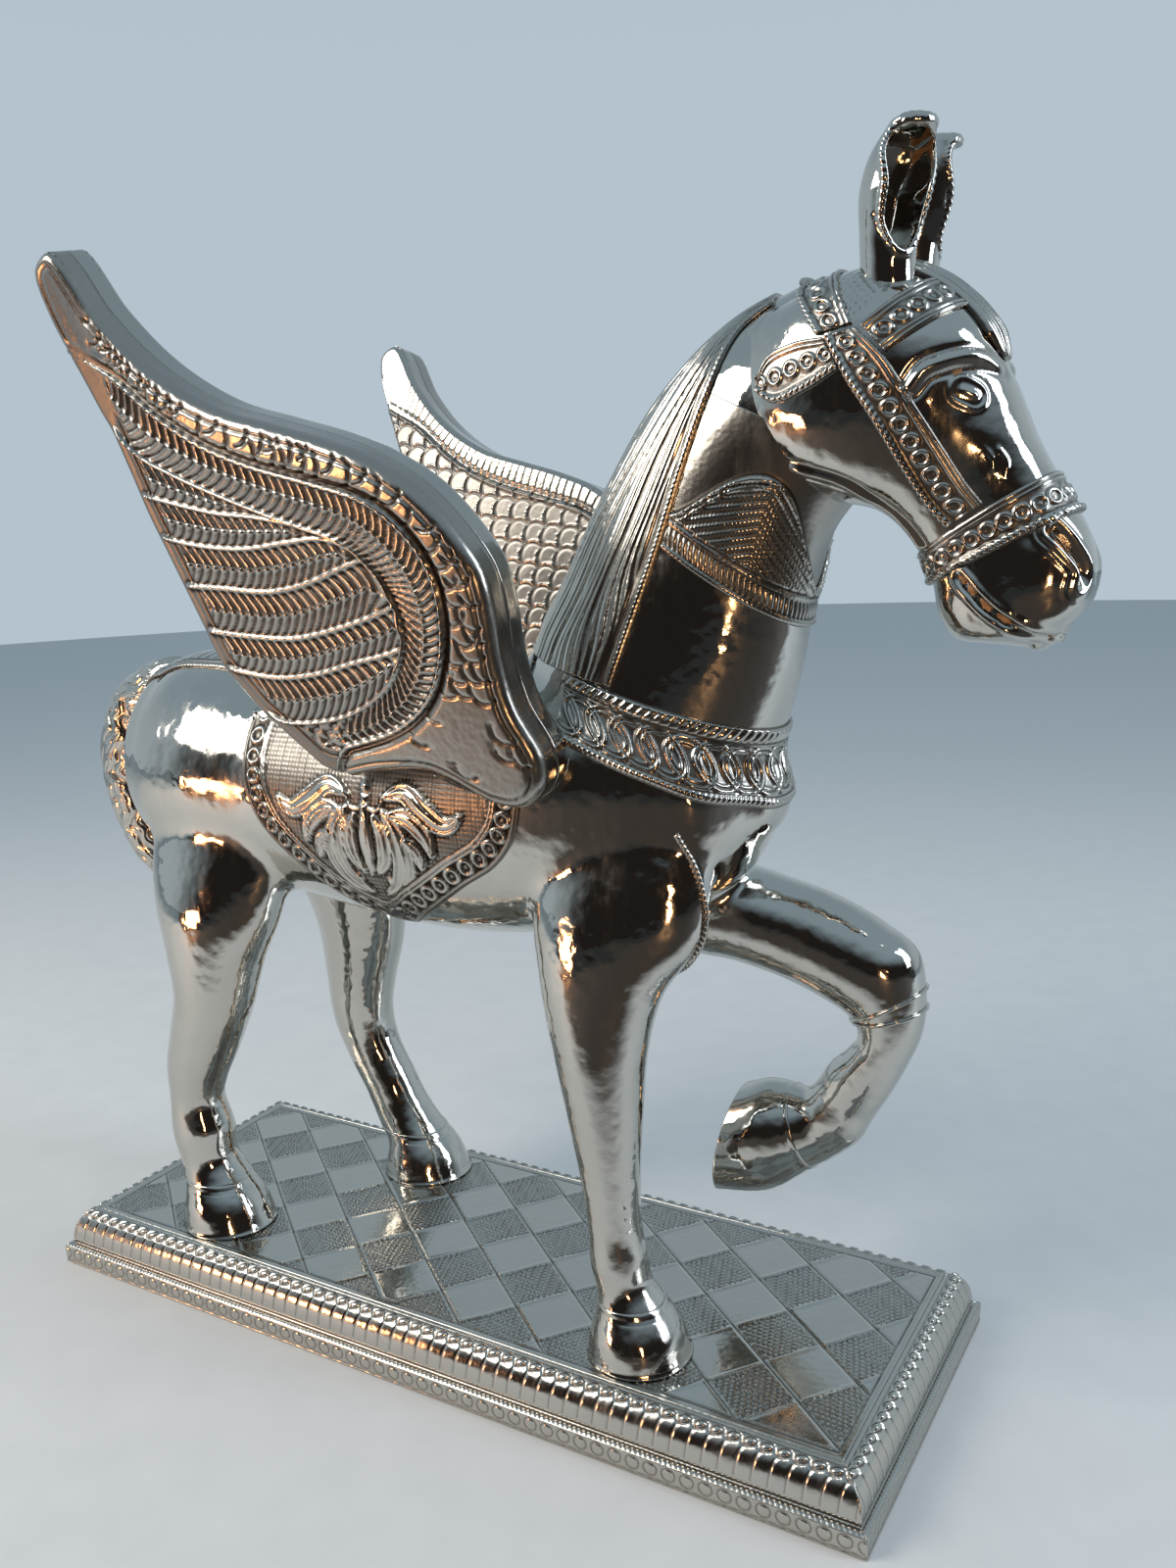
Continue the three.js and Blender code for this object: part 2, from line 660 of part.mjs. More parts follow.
// The leading band, the feathers' bed and their ribs, raised on the outer face of the board in its own plane.
function wingRelief(scale, side) {
  const raised = (outline, rise) => {
    const points = outline.map(([x, y]) => new THREE.Vector2(x * scale, y * scale));
    const depth = rise + sheet / 2;
    const plate = new THREE.ExtrudeGeometry(new THREE.Shape(points), { depth, bevelEnabled: false });
    return solidOf(plate.translate(0, 0, side < 0 ? -sheet / 2 : -wingThickness - rise));
  };
  const margin = shrunkOutline(wingOutline, reliefMargin);
  const band = raised([...margin.slice(bandFrom, bandTo), ...[...wingCrease].reverse()], bandRise);
  const bed = raised([...wingCrease, ...margin.slice(bandTo, margin.length - 2)], vaneRise);
  const ribs = wingRibs.map((line) => raised(stripBeside(line, -ribWidth / 2, ribWidth / 2), ribRise));
  return joined([band, bed, ...ribs]).intersect(raised(margin, 2 * bandRise));
}

const placed = (solid, matrix) => solidOf(geometryOf(solid).applyMatrix4(matrix));

// Where a wing's plane lies: forward along X, up and leaning out, its outer face away from the horse.
function wingPlacement(side) {
  const lean = THREE.MathUtils.degToRad(wingTilt);
  const forward = new THREE.Vector3(1, 0, 0);
  const up = new THREE.Vector3(0, side * Math.sin(lean), Math.cos(lean));
  const place = new THREE.Matrix4().makeBasis(forward, up, forward.clone().cross(up));
  const raise = side > 0 ? leftWingRaise : 0;
  place.setPosition(wingRoot[0], side * wingRootOut, wingRoot[1] + raise + plinthHeight);
  if (side > 0) place.multiply(new THREE.Matrix4().makeTranslation(0, 0, wingThickness));
  return place;
}

const wingMiddle = -wingThickness / 2;
const belowSeat = box([-far, -far, 0], [far, far, wingSeat + plinthHeight]);
const wingFront = box([-far, -far, wingMiddle + gap / 2], [far, far, far]);
const wingBack = box([-far, -far, -far], [far, far, wingMiddle - gap / 2]);
[['right', -1, 1], ['left', 1, leftWingScale]].forEach(([name, side, scale]) => {
  const place = wingPlacement(side);
  const shell = cut(wingBoard(scale, 0), wingBoard(scale, sheet));
  const halves = [shell.intersect(wingFront), shell.intersect(wingBack)];
  const [plainOuter, inner] = side < 0 ? halves : halves.reverse();
  const outer = plainOuter.add(wingRelief(scale, side));
  const board = placed(wingBoard(scale, sheet + gap), place);
  addPiece(`${name}_wing_board`, cut(board, bodyClear, dowelHoles), wood);
  addPiece(`${name}_wing_outer_sheet`, cut(placed(outer, place), bodyClear), whiteMetal);
  const innerClear = cut(placed(inner, place), bodyClear, belowSeat, dowelHoles);
  addPiece(`${name}_wing_inner_sheet`, innerClear, whiteMetal);
});

// Stamped bands and cloths over the cladding, each cut from a skin of its own thickness by its side outline

const saddleEdge = 247;         // where the side cloths meet the seat, above the plinth
const clothOutline = [
  [-83, saddleEdge], [-84, 227], [-77, 206], [-55, 183], [-30, 164], [-13, 159], [6, 169], [31, 185],
  [52, 199], [60, 210], [62, saddleEdge],
];
const seatOutline = [
  [-66, saddleEdge], [-66, 300], [36, 310], [56, 283.5], [73.5, 262], [73.5, saddleEdge],
];
const saddlePrism = joined([clothOutline, seatOutline].map((outline) => sidePrism(outline, -far, far)));
addPiece('saddle_cloth', cut(bodyBand, legsClear, dowelHoles).intersect(saddlePrism), whiteMetal);

const crupperHalfWidth = 20;
const crupperBox = box([-176, -crupperHalfWidth, 240 + plinthHeight], [-66 - gap, crupperHalfWidth, 330]);
addPiece('crupper_strap', cut(bodyBand.intersect(crupperBox), swollen(tailForm, gap)), whiteMetal);

const collarOutline = [
  [74, 270], [103, 260.5], [135, 248], [165, 240], [165, 208], [131, 221], [96, 234], [74, 244],
];
const collarBand = cut(bodyBand, legsClear).intersect(sidePrism(collarOutline, -far, far));
addPiece('breast_collar', collarBand, whiteMetal);

const crestSwollen = (by) => swollen(neckForm, by).add(swollen(headForm, by));
const maneOutline = [
  [57, 285], [74, 271], [95, 263.8], [103, 287], [112, 312], [120, 337], [129, 364], [138, 385], [149, 390],
  [156.8, 393.6], [137, 418.7], [90, 415], [20, 330],
];
const maneEdge = maneOutline.slice(2, 9);   // the lower edge, from the shoulder up to the poll
const lockStrips = [[gap, maneBorder]];
for (let start = maneBorder + lockWidth; start < maneDepth; start += lockPitch) {
  lockStrips.push([start, start + lockWidth]);
}
const maneRoom = cut(sidePrism(maneOutline, -far, far), swollen(trunkForm, 2 * gap + trim));
const maneSkin = cut(crestSwollen(gap + trim), crestSwollen(gap)).intersect(maneRoom);
const lockPrisms = lockStrips
  .map(([from, to]) => sidePrism(stripBeside(maneEdge, from, to), -far, far));
const maneLocks = cut(crestSwollen(gap + trim + lockRise), crestSwollen(gap + trim / 2)).intersect(maneRoom);
addPiece('mane_sheet', maneSkin.add(maneLocks.intersect(joined(lockPrisms))), whiteMetal);

const gorgetOutline = [
  [112.6, 312], [123, 297], [150, 278], [180, 270], [190, 326], [150, 380], [129.6, 363.7], [120.6, 336.8],
];
const neckSwollen = cut(swollen(neckForm, gap + trim), swollen(neckForm, gap));
const neckBand = cut(neckSwollen, swollen(headForm, 2 * gap + trim));
addPiece('throat_collar', neckBand.intersect(sidePrism(gorgetOutline, -far, far)), whiteMetal);

const headBand = cut(swollen(headForm, gap + trim), swollen(headForm, gap), swollen(neckForm, gap),
  ...[-1, 1].map((side) => swollen(earForm(side), gap)));
const crownOutline = [[170.4, 377.5], [162.2, 387.4], [146, 408], [164, 412], [177.8, 389.4], [182.4, 380]];
const browOutline = [
  [182.9, 379.9], [189, 387], [212, 404], [222, 392], [203, 380.8], [197, 377], [192, 370.6],
];
const cheekOutline = [
  [170.5, 377], [182.5, 379.5], [191.5, 370], [201, 354], [209.2, 340.6], [220.5, 323.6], [208.6, 316.4],
  [196.6, 334], [187, 351], [177, 367], [165, 361], [153, 358], [147.5, 361.5], [147.5, 367], [150.5, 372.3],
  [161, 376.6],
];
const noseOutline = [
  [190, 306], [214, 318], [240, 334], [250, 336], [256, 325], [243, 320.5], [231, 315.5], [210, 301.5],
  [196, 285],
];
const forelockHalfWidth = 9;
const forelockOutline = [
  [184, 385], [184, 425], [240, 420], [240, 366], [221.5, 366], [215, 371], [207, 381.5], [196, 390],
];
const earsClear = joined([-1, 1].map((side) => swollen(earForm(side), gap)));
const browPrism = sidePrism(browOutline, -far, far);
const browClear = swollen(headForm, 2 * gap + trim).intersect(browPrism);
const forelockPrism = sidePrism(forelockOutline, -forelockHalfWidth, forelockHalfWidth);
const forelock = cut(swollen(headForm, gap + forelockThickness), headClear, earsClear, browClear);
addPiece('forelock_sheet', forelock.intersect(forelockPrism), whiteMetal);
addPiece('crown_strap', headBand.intersect(sidePrism(crownOutline, -far, far)), whiteMetal);
addPiece('brow_band', headBand.intersect(browPrism), whiteMetal);
addPiece('right_cheek_strap', headBand.intersect(sidePrism(cheekOutline, -far, 0)), whiteMetal);
addPiece('left_cheek_strap', headBand.intersect(sidePrism(cheekOutline, 0, far)), whiteMetal);
addPiece('nose_band', headBand.intersect(sidePrism(noseOutline, -far, far)), whiteMetal);

Object.entries(dowelRuns).forEach(([name, run]) => addPiece(`${name}_dowel`, dowel(run), wood));

export default sculpture;
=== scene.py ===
# %% [markdown]
# # A winged horse clad in white metal
# The real ornament is carved in wood and covered with thin sheet of nickel silver, which is hammered over
# the carving, chased with small punches and polished. This lesson makes the sheets, and it carves the wood
# under them once more where the flat sides of the frame's wood would show through. A sheet could be
# sculpted by hand or cut out of the carving by booleans. Here each sheet is a grid of points laid on a
# smooth form, and its relief is a height in millimetres added along the surface, as a punch would raise or
# sink it.

import bpy
import numpy as np
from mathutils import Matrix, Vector
from mathutils.bvhtree import BVHTree


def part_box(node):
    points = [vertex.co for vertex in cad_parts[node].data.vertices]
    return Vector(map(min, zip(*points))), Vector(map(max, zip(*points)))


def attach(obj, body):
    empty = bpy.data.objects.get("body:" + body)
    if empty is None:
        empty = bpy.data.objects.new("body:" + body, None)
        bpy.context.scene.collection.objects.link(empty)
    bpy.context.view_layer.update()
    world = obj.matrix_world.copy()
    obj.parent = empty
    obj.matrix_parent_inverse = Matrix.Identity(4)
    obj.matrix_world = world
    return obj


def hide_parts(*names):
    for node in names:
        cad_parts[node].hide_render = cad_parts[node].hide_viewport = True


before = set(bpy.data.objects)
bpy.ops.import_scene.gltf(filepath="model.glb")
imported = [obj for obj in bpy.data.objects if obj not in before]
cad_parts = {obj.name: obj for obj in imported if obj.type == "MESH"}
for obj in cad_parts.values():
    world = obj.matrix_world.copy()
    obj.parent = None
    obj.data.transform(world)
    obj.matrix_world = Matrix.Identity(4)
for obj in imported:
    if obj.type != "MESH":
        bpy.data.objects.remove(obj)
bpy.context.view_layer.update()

MM = 0.001
plinth_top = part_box("plinth_top_sheet")[1].z / MM
print("plinth top at", round(plinth_top, 2), "mm,", len(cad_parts), "pieces in the frame")

# %% [markdown]
# ## The camera
# The picture was taken from in front of the horse's right shoulder, a little above the head. The lens and
# the place were worked out from the plinth's corners, so the camera can be made before anything else and
# then left alone.

# %% Camera
camera_data = bpy.data.cameras.new("camera")
camera_data.sensor_width = 36
camera_data.lens = 30.26
camera = bpy.data.objects.new("camera", camera_data)
camera.location = (0.3253, -0.4468, 0.3532)
camera.rotation_euler = np.radians((78.088, 2.227, 30.197))
bpy.context.scene.collection.objects.link(camera)
bpy.context.scene.camera = camera
print("camera", [round(value, 3) for value in camera.location])

# %% [markdown]
# ## Floor and light
# Polished metal has hardly any colour of its own, it shows what stands round it. A pale floor and an even
# white world would make it look like plaster, so the world is bright behind and above the horse and dark in
# front of it, like a workshop with an open door. The floor carries a painted pool of light: it is painted
# pale where the horse stands and greyer further out. Soft lamps draw the long highlights, and a small warm
# one gives the orange glints of a sunlit doorway. In front of the picture's lower edge the pale floor turns
# to dark earth, which is what the wings, the flank and the middle of each leg mirror.

# %% Colours and nodes
def rgb(code):
    """The linear colour of an sRGB hex code."""
    channels = [int(code[i:i + 2], 16) / 255 for i in (1, 3, 5)]
    return [c / 12.92 if c <= 0.04045 else ((c + 0.055) / 1.055) ** 2.4 for c in channels] + [1.0]


def add_node(tree, kind, sockets=None, **settings):
    """Adds a shader node. A value that is another node's socket is linked, any other value is set."""
    node = tree.nodes.new("ShaderNode" + kind)
    for name, value in settings.items():
        setattr(node, name, value)
    for name, value in (sockets or {}).items():
        if isinstance(value, bpy.types.NodeSocket):
            tree.links.new(value, node.inputs[name])
        else:
            node.inputs[name].default_value = value
    return node


def new_material(name):
    material = bpy.data.materials.new(name)
    material.use_nodes = True
    tree = material.node_tree
    return material, tree, tree.nodes["Principled BSDF"]


print("white metal in linear light", [round(value, 2) for value in rgb("#CFCDC6")])

# %% Floor
# The paler middle of the floor is a painted pool of light, which fades to grey between these two distances.
LIGHT_POOL_FROM, LIGHT_POOL_TO = 0.5, 1.5           # where the pale floor turns greyer, metres from the middle
EARTH_FROM, EARTH_TO = 0.18, 0.34       # where it turns to dark earth, metres towards the camera
floor_material, tree, shader = new_material("painted floor")
place = add_node(tree, "TexCoord").outputs["Object"]
speckle = add_node(tree, "TexNoise", {"Vector": place, "Scale": 40, "Detail": 6})
near = add_node(tree, "Mix", {0: speckle.outputs[0], 6: rgb("#DADBDA"), 7: rgb("#E6E6E4")}, data_type="RGBA")
reach = add_node(tree, "VectorMath", {0: place}, operation="LENGTH")
# Painted pool of light: the floor's colour is paler near the middle and greyer further out.
fade = add_node(tree, "MapRange", {0: reach.outputs["Value"], 1: LIGHT_POOL_FROM, 2: LIGHT_POOL_TO},
                interpolation_type="SMOOTHSTEP")
far = add_node(tree, "Mix", {0: fade.outputs[0], 6: near.outputs[2], 7: rgb("#D3D6D7")}, data_type="RGBA")
ahead = add_node(tree, "VectorMath", {0: place, 1: (0.5, -0.866, 0)}, operation="DOT_PRODUCT")
edge = add_node(tree, "MapRange", {0: ahead.outputs["Value"], 1: EARTH_FROM, 2: EARTH_TO},
                interpolation_type="SMOOTHSTEP")
tone = add_node(tree, "Mix", {0: edge.outputs[0], 6: far.outputs[2], 7: rgb("#40372F")}, data_type="RGBA")
tree.links.new(tone.outputs[2], shader.inputs["Base Color"])
shader.inputs["Roughness"].default_value = 0.7
bpy.ops.mesh.primitive_circle_add(vertices=96, radius=4, fill_type="NGON")
floor = bpy.context.object
floor.name = "floor"
floor.data.materials.append(floor_material)
print("floor", floor.name)

# %% World and lamps
world = bpy.data.worlds.new("workshop")
bpy.context.scene.world = world
world.use_nodes = True
tree = world.node_tree
direction = add_node(tree, "TexCoord").outputs["Generated"]
facing = add_node(tree, "VectorMath", {0: direction, 1: (0.55, -0.8, -0.1)}, operation="DOT_PRODUCT")
front = add_node(tree, "MapRange", {0: facing.outputs["Value"], 1: -0.2, 2: 0.45},
                 interpolation_type="SMOOTHSTEP")
height = add_node(tree, "SeparateXYZ", {0: direction}).outputs["Z"]
above = add_node(tree, "MapRange", {0: height, 1: 0.25, 2: 0.75}, interpolation_type="SMOOTHSTEP")
walls = add_node(tree, "Mix", {0: front.outputs[0], 6: rgb("#B4C3CD"), 7: rgb("#262220")}, data_type="RGBA")
sky = add_node(tree, "Mix", {0: above.outputs[0], 6: walls.outputs[2], 7: rgb("#97ABB9")}, data_type="RGBA")
tree.links.new(sky.outputs[2], tree.nodes["Background"].inputs["Color"])


def soft_lamp(name, place, aim, size, watts, colour):
    lamp_data = bpy.data.lights.new(name, "AREA")
    lamp_data.shape = "RECTANGLE"
    lamp_data.size, lamp_data.size_y = size
    lamp_data.energy = watts
    lamp_data.color = rgb(colour)[:3]
    lamp = bpy.data.objects.new(name, lamp_data)
    lamp.location = place
    lamp.rotation_euler = (Vector(aim) - Vector(place)).to_track_quat("-Z", "Y").to_euler()
    lamp.visible_camera = False
    bpy.context.scene.collection.objects.link(lamp)


soft_lamp("window", (-0.9, -1.0, 1.1), (0, 0, 0.2), (0.9, 0.7), 15, "#FFF6EC")
soft_lamp("door", (1.5, 0.3, 0.9), (0, 0, 0.2), (0.5, 1.2), 11, "#E9F2FF")
soft_lamp("doorway", (1.0, -1.3, 0.25), (0, 0, 0.2), (0.12, 0.3), 2.2, "#FFC48A")
soft_lamp("sunlit yard", (-0.8, -1.0, 0.12), (0, 0, 0.3), (0.3, 0.16), 2.0, "#FFB27A")
bpy.context.scene.view_settings.view_transform = "Standard"
print("lamps", len(bpy.data.lights))

# %% [markdown]
# ## The metal
# The sheet is nickel silver, an alloy of copper, nickel and zinc that is sold as white metal. It is
# hammered cold, so it shows shallow dents a few millimetres wide, and buffed, so it mirrors the room. In
# the chased lines the buffing mop doesn't reach, and dark polish and tarnish stay there. Each relief keeps
# how deep a point lies in its grooves as a number on the mesh, and the material darkens and dulls the
# metal by it. On the wings the same number also holds painted shade: their dark reflections are painted
# into the metal's colour.

# %% Metal
def nickel_silver(name, bright, roughness, dent_mm, dent_depth_mm, haze):
    """Buffed sheet. `haze` is how much rougher it is in the streaks that the hammer and the mop left."""
    material, tree, shader = new_material(name)
    place = add_node(tree, "TexCoord").outputs["Object"]
    tarnish_and_shade = add_node(tree, "Attribute", attribute_name="tarnish_and_shade").outputs["Fac"]
    cloud = add_node(tree, "TexNoise", {"Vector": place, "Scale": 28, "Detail": 5, "Roughness": 0.65})
    warm = add_node(tree, "Mix", {0: cloud.outputs[0], 6: rgb(bright), 7: rgb("#C3BFB6")}, data_type="RGBA")
    # Darker by the attribute: dark polish in the grooves, and on the wings painted shade.
    tone = add_node(tree, "Mix", {0: tarnish_and_shade, 6: warm.outputs[2], 7: rgb("#2B241D")}, data_type="RGBA")
    tree.links.new(tone.outputs[2], shader.inputs["Base Color"])
    shader.inputs["Metallic"].default_value = 1.0

    stretched = add_node(tree, "Mapping", {"Vector": place, "Scale": (1, 1, 0.35)})
    streak = add_node(tree, "TexNoise", {"Vector": stretched.outputs[0], "Scale": 55, "Detail": 8,
                                         "Roughness": 0.7})
    patch = add_node(tree, "MapRange", {0: streak.outputs[0], 1: 0.5, 2: 0.68, 3: roughness,
                                        4: roughness + haze})
    dull = add_node(tree, "MapRange", {0: tarnish_and_shade, 3: 0.0, 4: 0.35})
    rough = add_node(tree, "Math", {0: patch.outputs[0], 1: dull.outputs[0]}, operation="ADD")
    tree.links.new(rough.outputs[0], shader.inputs["Roughness"])

    dents = add_node(tree, "TexVoronoi", {"Vector": place, "Scale": 1 / (dent_mm * MM)}, feature="SMOOTH_F1")
    waves = add_node(tree, "TexNoise", {"Vector": place, "Scale": 0.35 / (dent_mm * MM), "Detail": 2})
    hammered = add_node(tree, "Math", {0: dents.outputs[0], 1: waves.outputs[0]}, operation="ADD")
    bump = add_node(tree, "Bump", {"Height": hammered.outputs[0], "Distance": dent_depth_mm * MM,
                                   "Strength": 1.0})
    ripples = add_node(tree, "TexNoise", {"Vector": place, "Scale": 1.6 / (dent_mm * MM), "Detail": 4})
    fine = add_node(tree, "Bump", {"Height": ripples.outputs[0], "Distance": 0.3 * dent_depth_mm * MM,
                                   "Strength": 1.0, "Normal": bump.outputs[0]})
    tree.links.new(fine.outputs[0], shader.inputs["Normal"])
    return material


polished = nickel_silver("nickel silver, hammered and buffed", "#D0CEC8", 0.05, 5.0, 0.2, 0.16)
chased = nickel_silver("nickel silver, chased", "#C9C6BF", 0.12, 2.5, 0.06, 0.14)
stamped = nickel_silver("nickel silver, stamped", "#CFCCC5", 0.11, 2.0, 0.05, 0.12)
print("metals", [polished.name, chased.name, stamped.name])

# %% [markdown]
# ## Wood and screws
# The carving under the sheet is a plain light wood such as mango, sawn and rasped. It shows only beneath
# the plinth and in the gaps, but every piece has its real material. Growth rings are rings of a stretched
# wave about 3 mm apart. The screws are zinc-plated steel.

# %% Wood and steel
def rasped_wood(name, early, late, ring_mm):
    material, tree, shader = new_material(name)
    place = add_node(tree, "TexCoord").outputs["Object"]
    grain = add_node(tree, "Mapping", {"Vector": place, "Scale": (0.12, 1, 1)})
    rings = add_node(tree, "TexWave", {"Vector": grain.outputs[0], "Scale": 0.3 / (ring_mm * MM),
                                       "Distortion": 5, "Detail": 3}, wave_type="RINGS", rings_direction="X")
    tone = add_node(tree, "Mix", {0: rings.outputs[1], 6: rgb(early), 7: rgb(late)}, data_type="RGBA")
    tree.links.new(tone.outputs[2], shader.inputs["Base Color"])
    shader.inputs["Roughness"].default_value = 0.72
    bump = add_node(tree, "Bump", {"Height": rings.outputs[1], "Distance": 0.1 * MM})
    tree.links.new(bump.outputs[0], shader.inputs["Normal"])
    return material


zinc, tree, shader = new_material("zinc-plated steel")
crystals = add_node(tree, "TexVoronoi", {"Scale": 1 / (0.8 * MM)})
tone = add_node(tree, "Mix", {0: crystals.outputs[0], 6: rgb("#9A9DA0"), 7: rgb("#7F8387")}, data_type="RGBA")
tree.links.new(tone.outputs[2], shader.inputs["Base Color"])
shader.inputs["Metallic"].default_value = 1.0
shader.inputs["Roughness"].default_value = 0.38

mango = rasped_wood("mango wood, rasped", "#B98A5B", "#9A6E43", 3)
beech = rasped_wood("beech dowel", "#D2A877", "#BE9160", 2)
for name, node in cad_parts.items():
    node.data.materials.clear()
    if name.endswith("_screw"):
        node.data.materials.append(zinc)
    elif name.endswith("_dowel"):
        node.data.materials.append(beech)
    elif name.endswith(("_wood", "_board")):
        node.data.materials.append(mango)
    else:
        node.data.materials.append(polished)
print("materials given to", len(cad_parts), "nodes")

# %% [markdown]
# ## Smooth forms
# The carving is rounded everywhere, so each limb is a row of oval sections joined by a smooth curve.
# Metaballs or sculpting would also give rounded shapes, but sections say plainly how thick a leg is at the
# knee. A section is given by its two ends in side view, its half width and the y of its middle. Heights
# start at the plinth's top.

# %% Curves through points
def smooth_through(knots, values, at):
    """A smooth curve that passes through `values` at `knots`, read at the places `at`."""
    knots = np.asarray(knots, float)
    values = np.asarray(values, float)
    slopes = np.gradient(values, knots, axis=0)
    k = np.clip(np.searchsorted(knots, at, side="right") - 1, 0, len(knots) - 2)
    span = (knots[k + 1] - knots[k])[:, None]
    t = (np.asarray(at) - knots[k])[:, None] / span
    start = (2 * t**3 - 3 * t**2 + 1) * values[k] + (t**3 - 2 * t**2 + t) * span * slopes[k]
    return start + (3 * t**2 - 2 * t**3) * values[k + 1] + (t**3 - t**2) * span * slopes[k + 1]


def run_lengths(points):
    """How far along a row of points each of them lies."""
    steps = np.linalg.norm(np.diff(np.asarray(points, float), axis=0), axis=1)
    return np.concatenate([[0], np.cumsum(steps)])


def even_steps(points, count):
    """The same row of points as `count` points at even steps along it."""
    lengths = run_lengths(points)
    at = np.linspace(0, lengths[-1], count)
    return np.stack([np.interp(at, lengths, column) for column in points.T], 1)


def curve_through(points, count):
    """`count` points at even steps on a smooth curve through `points`."""
    knots = run_lengths(points)
    return even_steps(smooth_through(knots, points, np.linspace(0, knots[-1], 8 * count)), count)


print("a curve of", len(curve_through([(0, 0), (1, 1), (2, 0)], 9)), "points")

# %% Lofts
def sections_along(path):
    """Sections square to a path of [x, height, half depth, half width, y]."""
    path = np.asarray(path, float)
    run = np.empty((len(path), 2))
    run[1:-1] = path[2:, :2] - path[:-2, :2]
    run[0] = path[1, :2] - path[0, :2]
    run[-1] = path[-1, :2] - path[-2, :2]
    run /= np.linalg.norm(run, axis=1)[:, None]
    reach = np.stack([run[:, 1], -run[:, 0]], 1) * path[:, 2:3]
    return np.hstack([path[:, :2] + reach, path[:, :2] - reach, path[:, 3:]])


def loft(sections, rows, sides, fullness=1.0, domes=(0, 0)):
    """Rings of points (rows, sides, xyz) on a smooth skin over the sections, with domed ends.

    `fullness` below 1 squares the ovals a little, and `domes` are the depths of the two ends."""
    sections = np.asarray(sections, float)
    middles = (sections[:, :2] + sections[:, 2:4]) / 2
    knots = run_lengths(np.stack([middles[:, 0], sections[:, 5], middles[:, 1]], 1))
    s = smooth_through(knots, sections, np.linspace(0, knots[-1], rows))
    angles = np.linspace(0, 2 * np.pi, sides, endpoint=False)
    across = np.sign(np.sin(angles)) * np.abs(np.sin(angles)) ** fullness
    along = (1 + np.sign(np.cos(angles)) * np.abs(np.cos(angles)) ** fullness) / 2
    x = s[:, 0:1] + (s[:, 2:3] - s[:, 0:1]) * along
    z = s[:, 1:2] + (s[:, 3:4] - s[:, 1:2]) * along
    y = s[:, 5:6] + s[:, 4:5] * across
    grid = np.stack([x, y, z + plinth_top], 2)
    for end, depth in zip((0, -1), domes):
        ring = grid[end]
        middle = ring.mean(0)
        away = middle - grid[1 if end == 0 else -2].mean(0)
        away /= np.linalg.norm(away)
        turns = np.radians([20, 38, 54, 68, 79, 86])
        cap = [middle + (ring - middle) * np.cos(a) + away * depth * np.sin(a) for a in turns if depth]
        if cap:
            grid = np.concatenate([cap[::-1], grid] if end == 0 else [grid, cap])
    return grid


print("mapped section", sections_along([(0, 0, 1, 1, 0), (0, 2, 1, 1, 0)])[0])

# %% Sections of trunk, neck, head and tail
trunk_form = [
    (-177, 207, -176, 236, 14, 0), (-171, 183, -170, 254, 32, 0), (-156, 167, -154, 264, 44, 0),
    (-126, 160, -126, 267, 50, 0), (-85, 159, -85, 262, 48, 0), (-40, 154, -40, 258, 50, 0),
    (5, 152, 5, 262, 52, 0), (45, 156, 45, 273, 52, 0), (82, 166, 84, 277, 50, 0),
    (112, 178, 113, 267, 43, 0), (130, 190, 131, 251, 33, 0), (140, 206, 140, 234, 16, 0),
]
neck_form = [
    (132, 208, 52, 240, 40, 0), (142, 238, 46, 274, 40, 0), (151, 268, 62, 305, 35, 0),
    (156, 294, 80, 337, 31, 0), (162, 315, 104, 368, 28, 0), (171, 327, 131, 389, 26, 0),
    (176, 334, 156, 399, 22, 0),
]
head_form = [
    (127, 368, 152, 393, 18, 0), (131, 349, 172, 400, 26, 0), (148, 333, 196, 396, 31, 0),
    (166, 326, 214, 381, 30, 0), (182, 322, 224, 362, 26, 0), (193, 312, 232, 343, 21.5, 0),
    (200, 298, 241, 327, 19, 0), (203, 286, 249, 312, 20, 0), (210, 279, 251, 300, 19, 0),
    (222, 278, 248, 289, 15, 0), (231, 277, 241, 282, 7, 0),
]
tail_path = [
    (-150, 254, 9, 10, 0), (-174, 251, 12, 13, 0), (-192, 240, 15, 14, 0), (-200, 219, 20, 15, 0),
    (-199, 195, 19.5, 14, 0), (-192, 172, 15, 12, 0), (-181, 151, 5, 6, 0),
]
print("sections", len(trunk_form) + len(neck_form) + len(head_form) + len(tail_path))

# %% Sections of the legs
RIGHT_STANCE = 40               # from the middle plane out to the standing legs, mm
LEFT_STANCE = 43

right_fore_path = [
    (97, 208, 32, 17, -28), (91, 180, 36, 19, -34), (85, 150, 25, 19.5, -38),
    *[(*section, -RIGHT_STANCE) for section in (
        (85, 122, 18.3, 17.5), (86, 99, 15, 15), (87.5, 70, 11.6, 12), (88.7, 48, 10.8, 11),
        (90, 37, 11.6, 11.8), (92, 27, 11.2, 11.5), (93.5, 21, 13.5, 13.5), (96, 10, 18.5, 18.5),
        (98, -5, 21.5, 21.5))],
]
right_hind_path = [
    (-122, 205, 34, 17, -26), (-117, 180, 40, 19.5, -31), (-117, 155, 33.5, 21, -36),
    (-119, 133, 24.5, 19.5, -38.5),
    *[(*section, -RIGHT_STANCE) for section in (
        (-121.5, 112, 19.5, 17), (-130, 91, 17.2, 15.2), (-137, 74, 14.8, 13.8), (-139, 61, 13, 12.5),
        (-137, 44, 15, 14), (-134, 28, 13.5, 13.5), (-131.5, 21, 15, 15), (-128, 10, 19.5, 19),
        (-125, -5, 23, 22))],
]
left_hind_path = [
    (-112, 205, 34, 17, 26), (-107, 180, 37, 19.5, 31), (-99, 150, 29, 20.5, 37), (-100, 124, 23.5, 18, 41),
    *[(*section, LEFT_STANCE) for section in (
        (-104, 98, 18.5, 15.8), (-104.5, 78, 16, 14.3), (-98, 58, 14, 13), (-90, 44, 13.5, 13),
        (-83, 30, 14, 13.5), (-76, 19, 15, 15), (-72, 9, 19.5, 19), (-69, -5, 23, 22))],
]
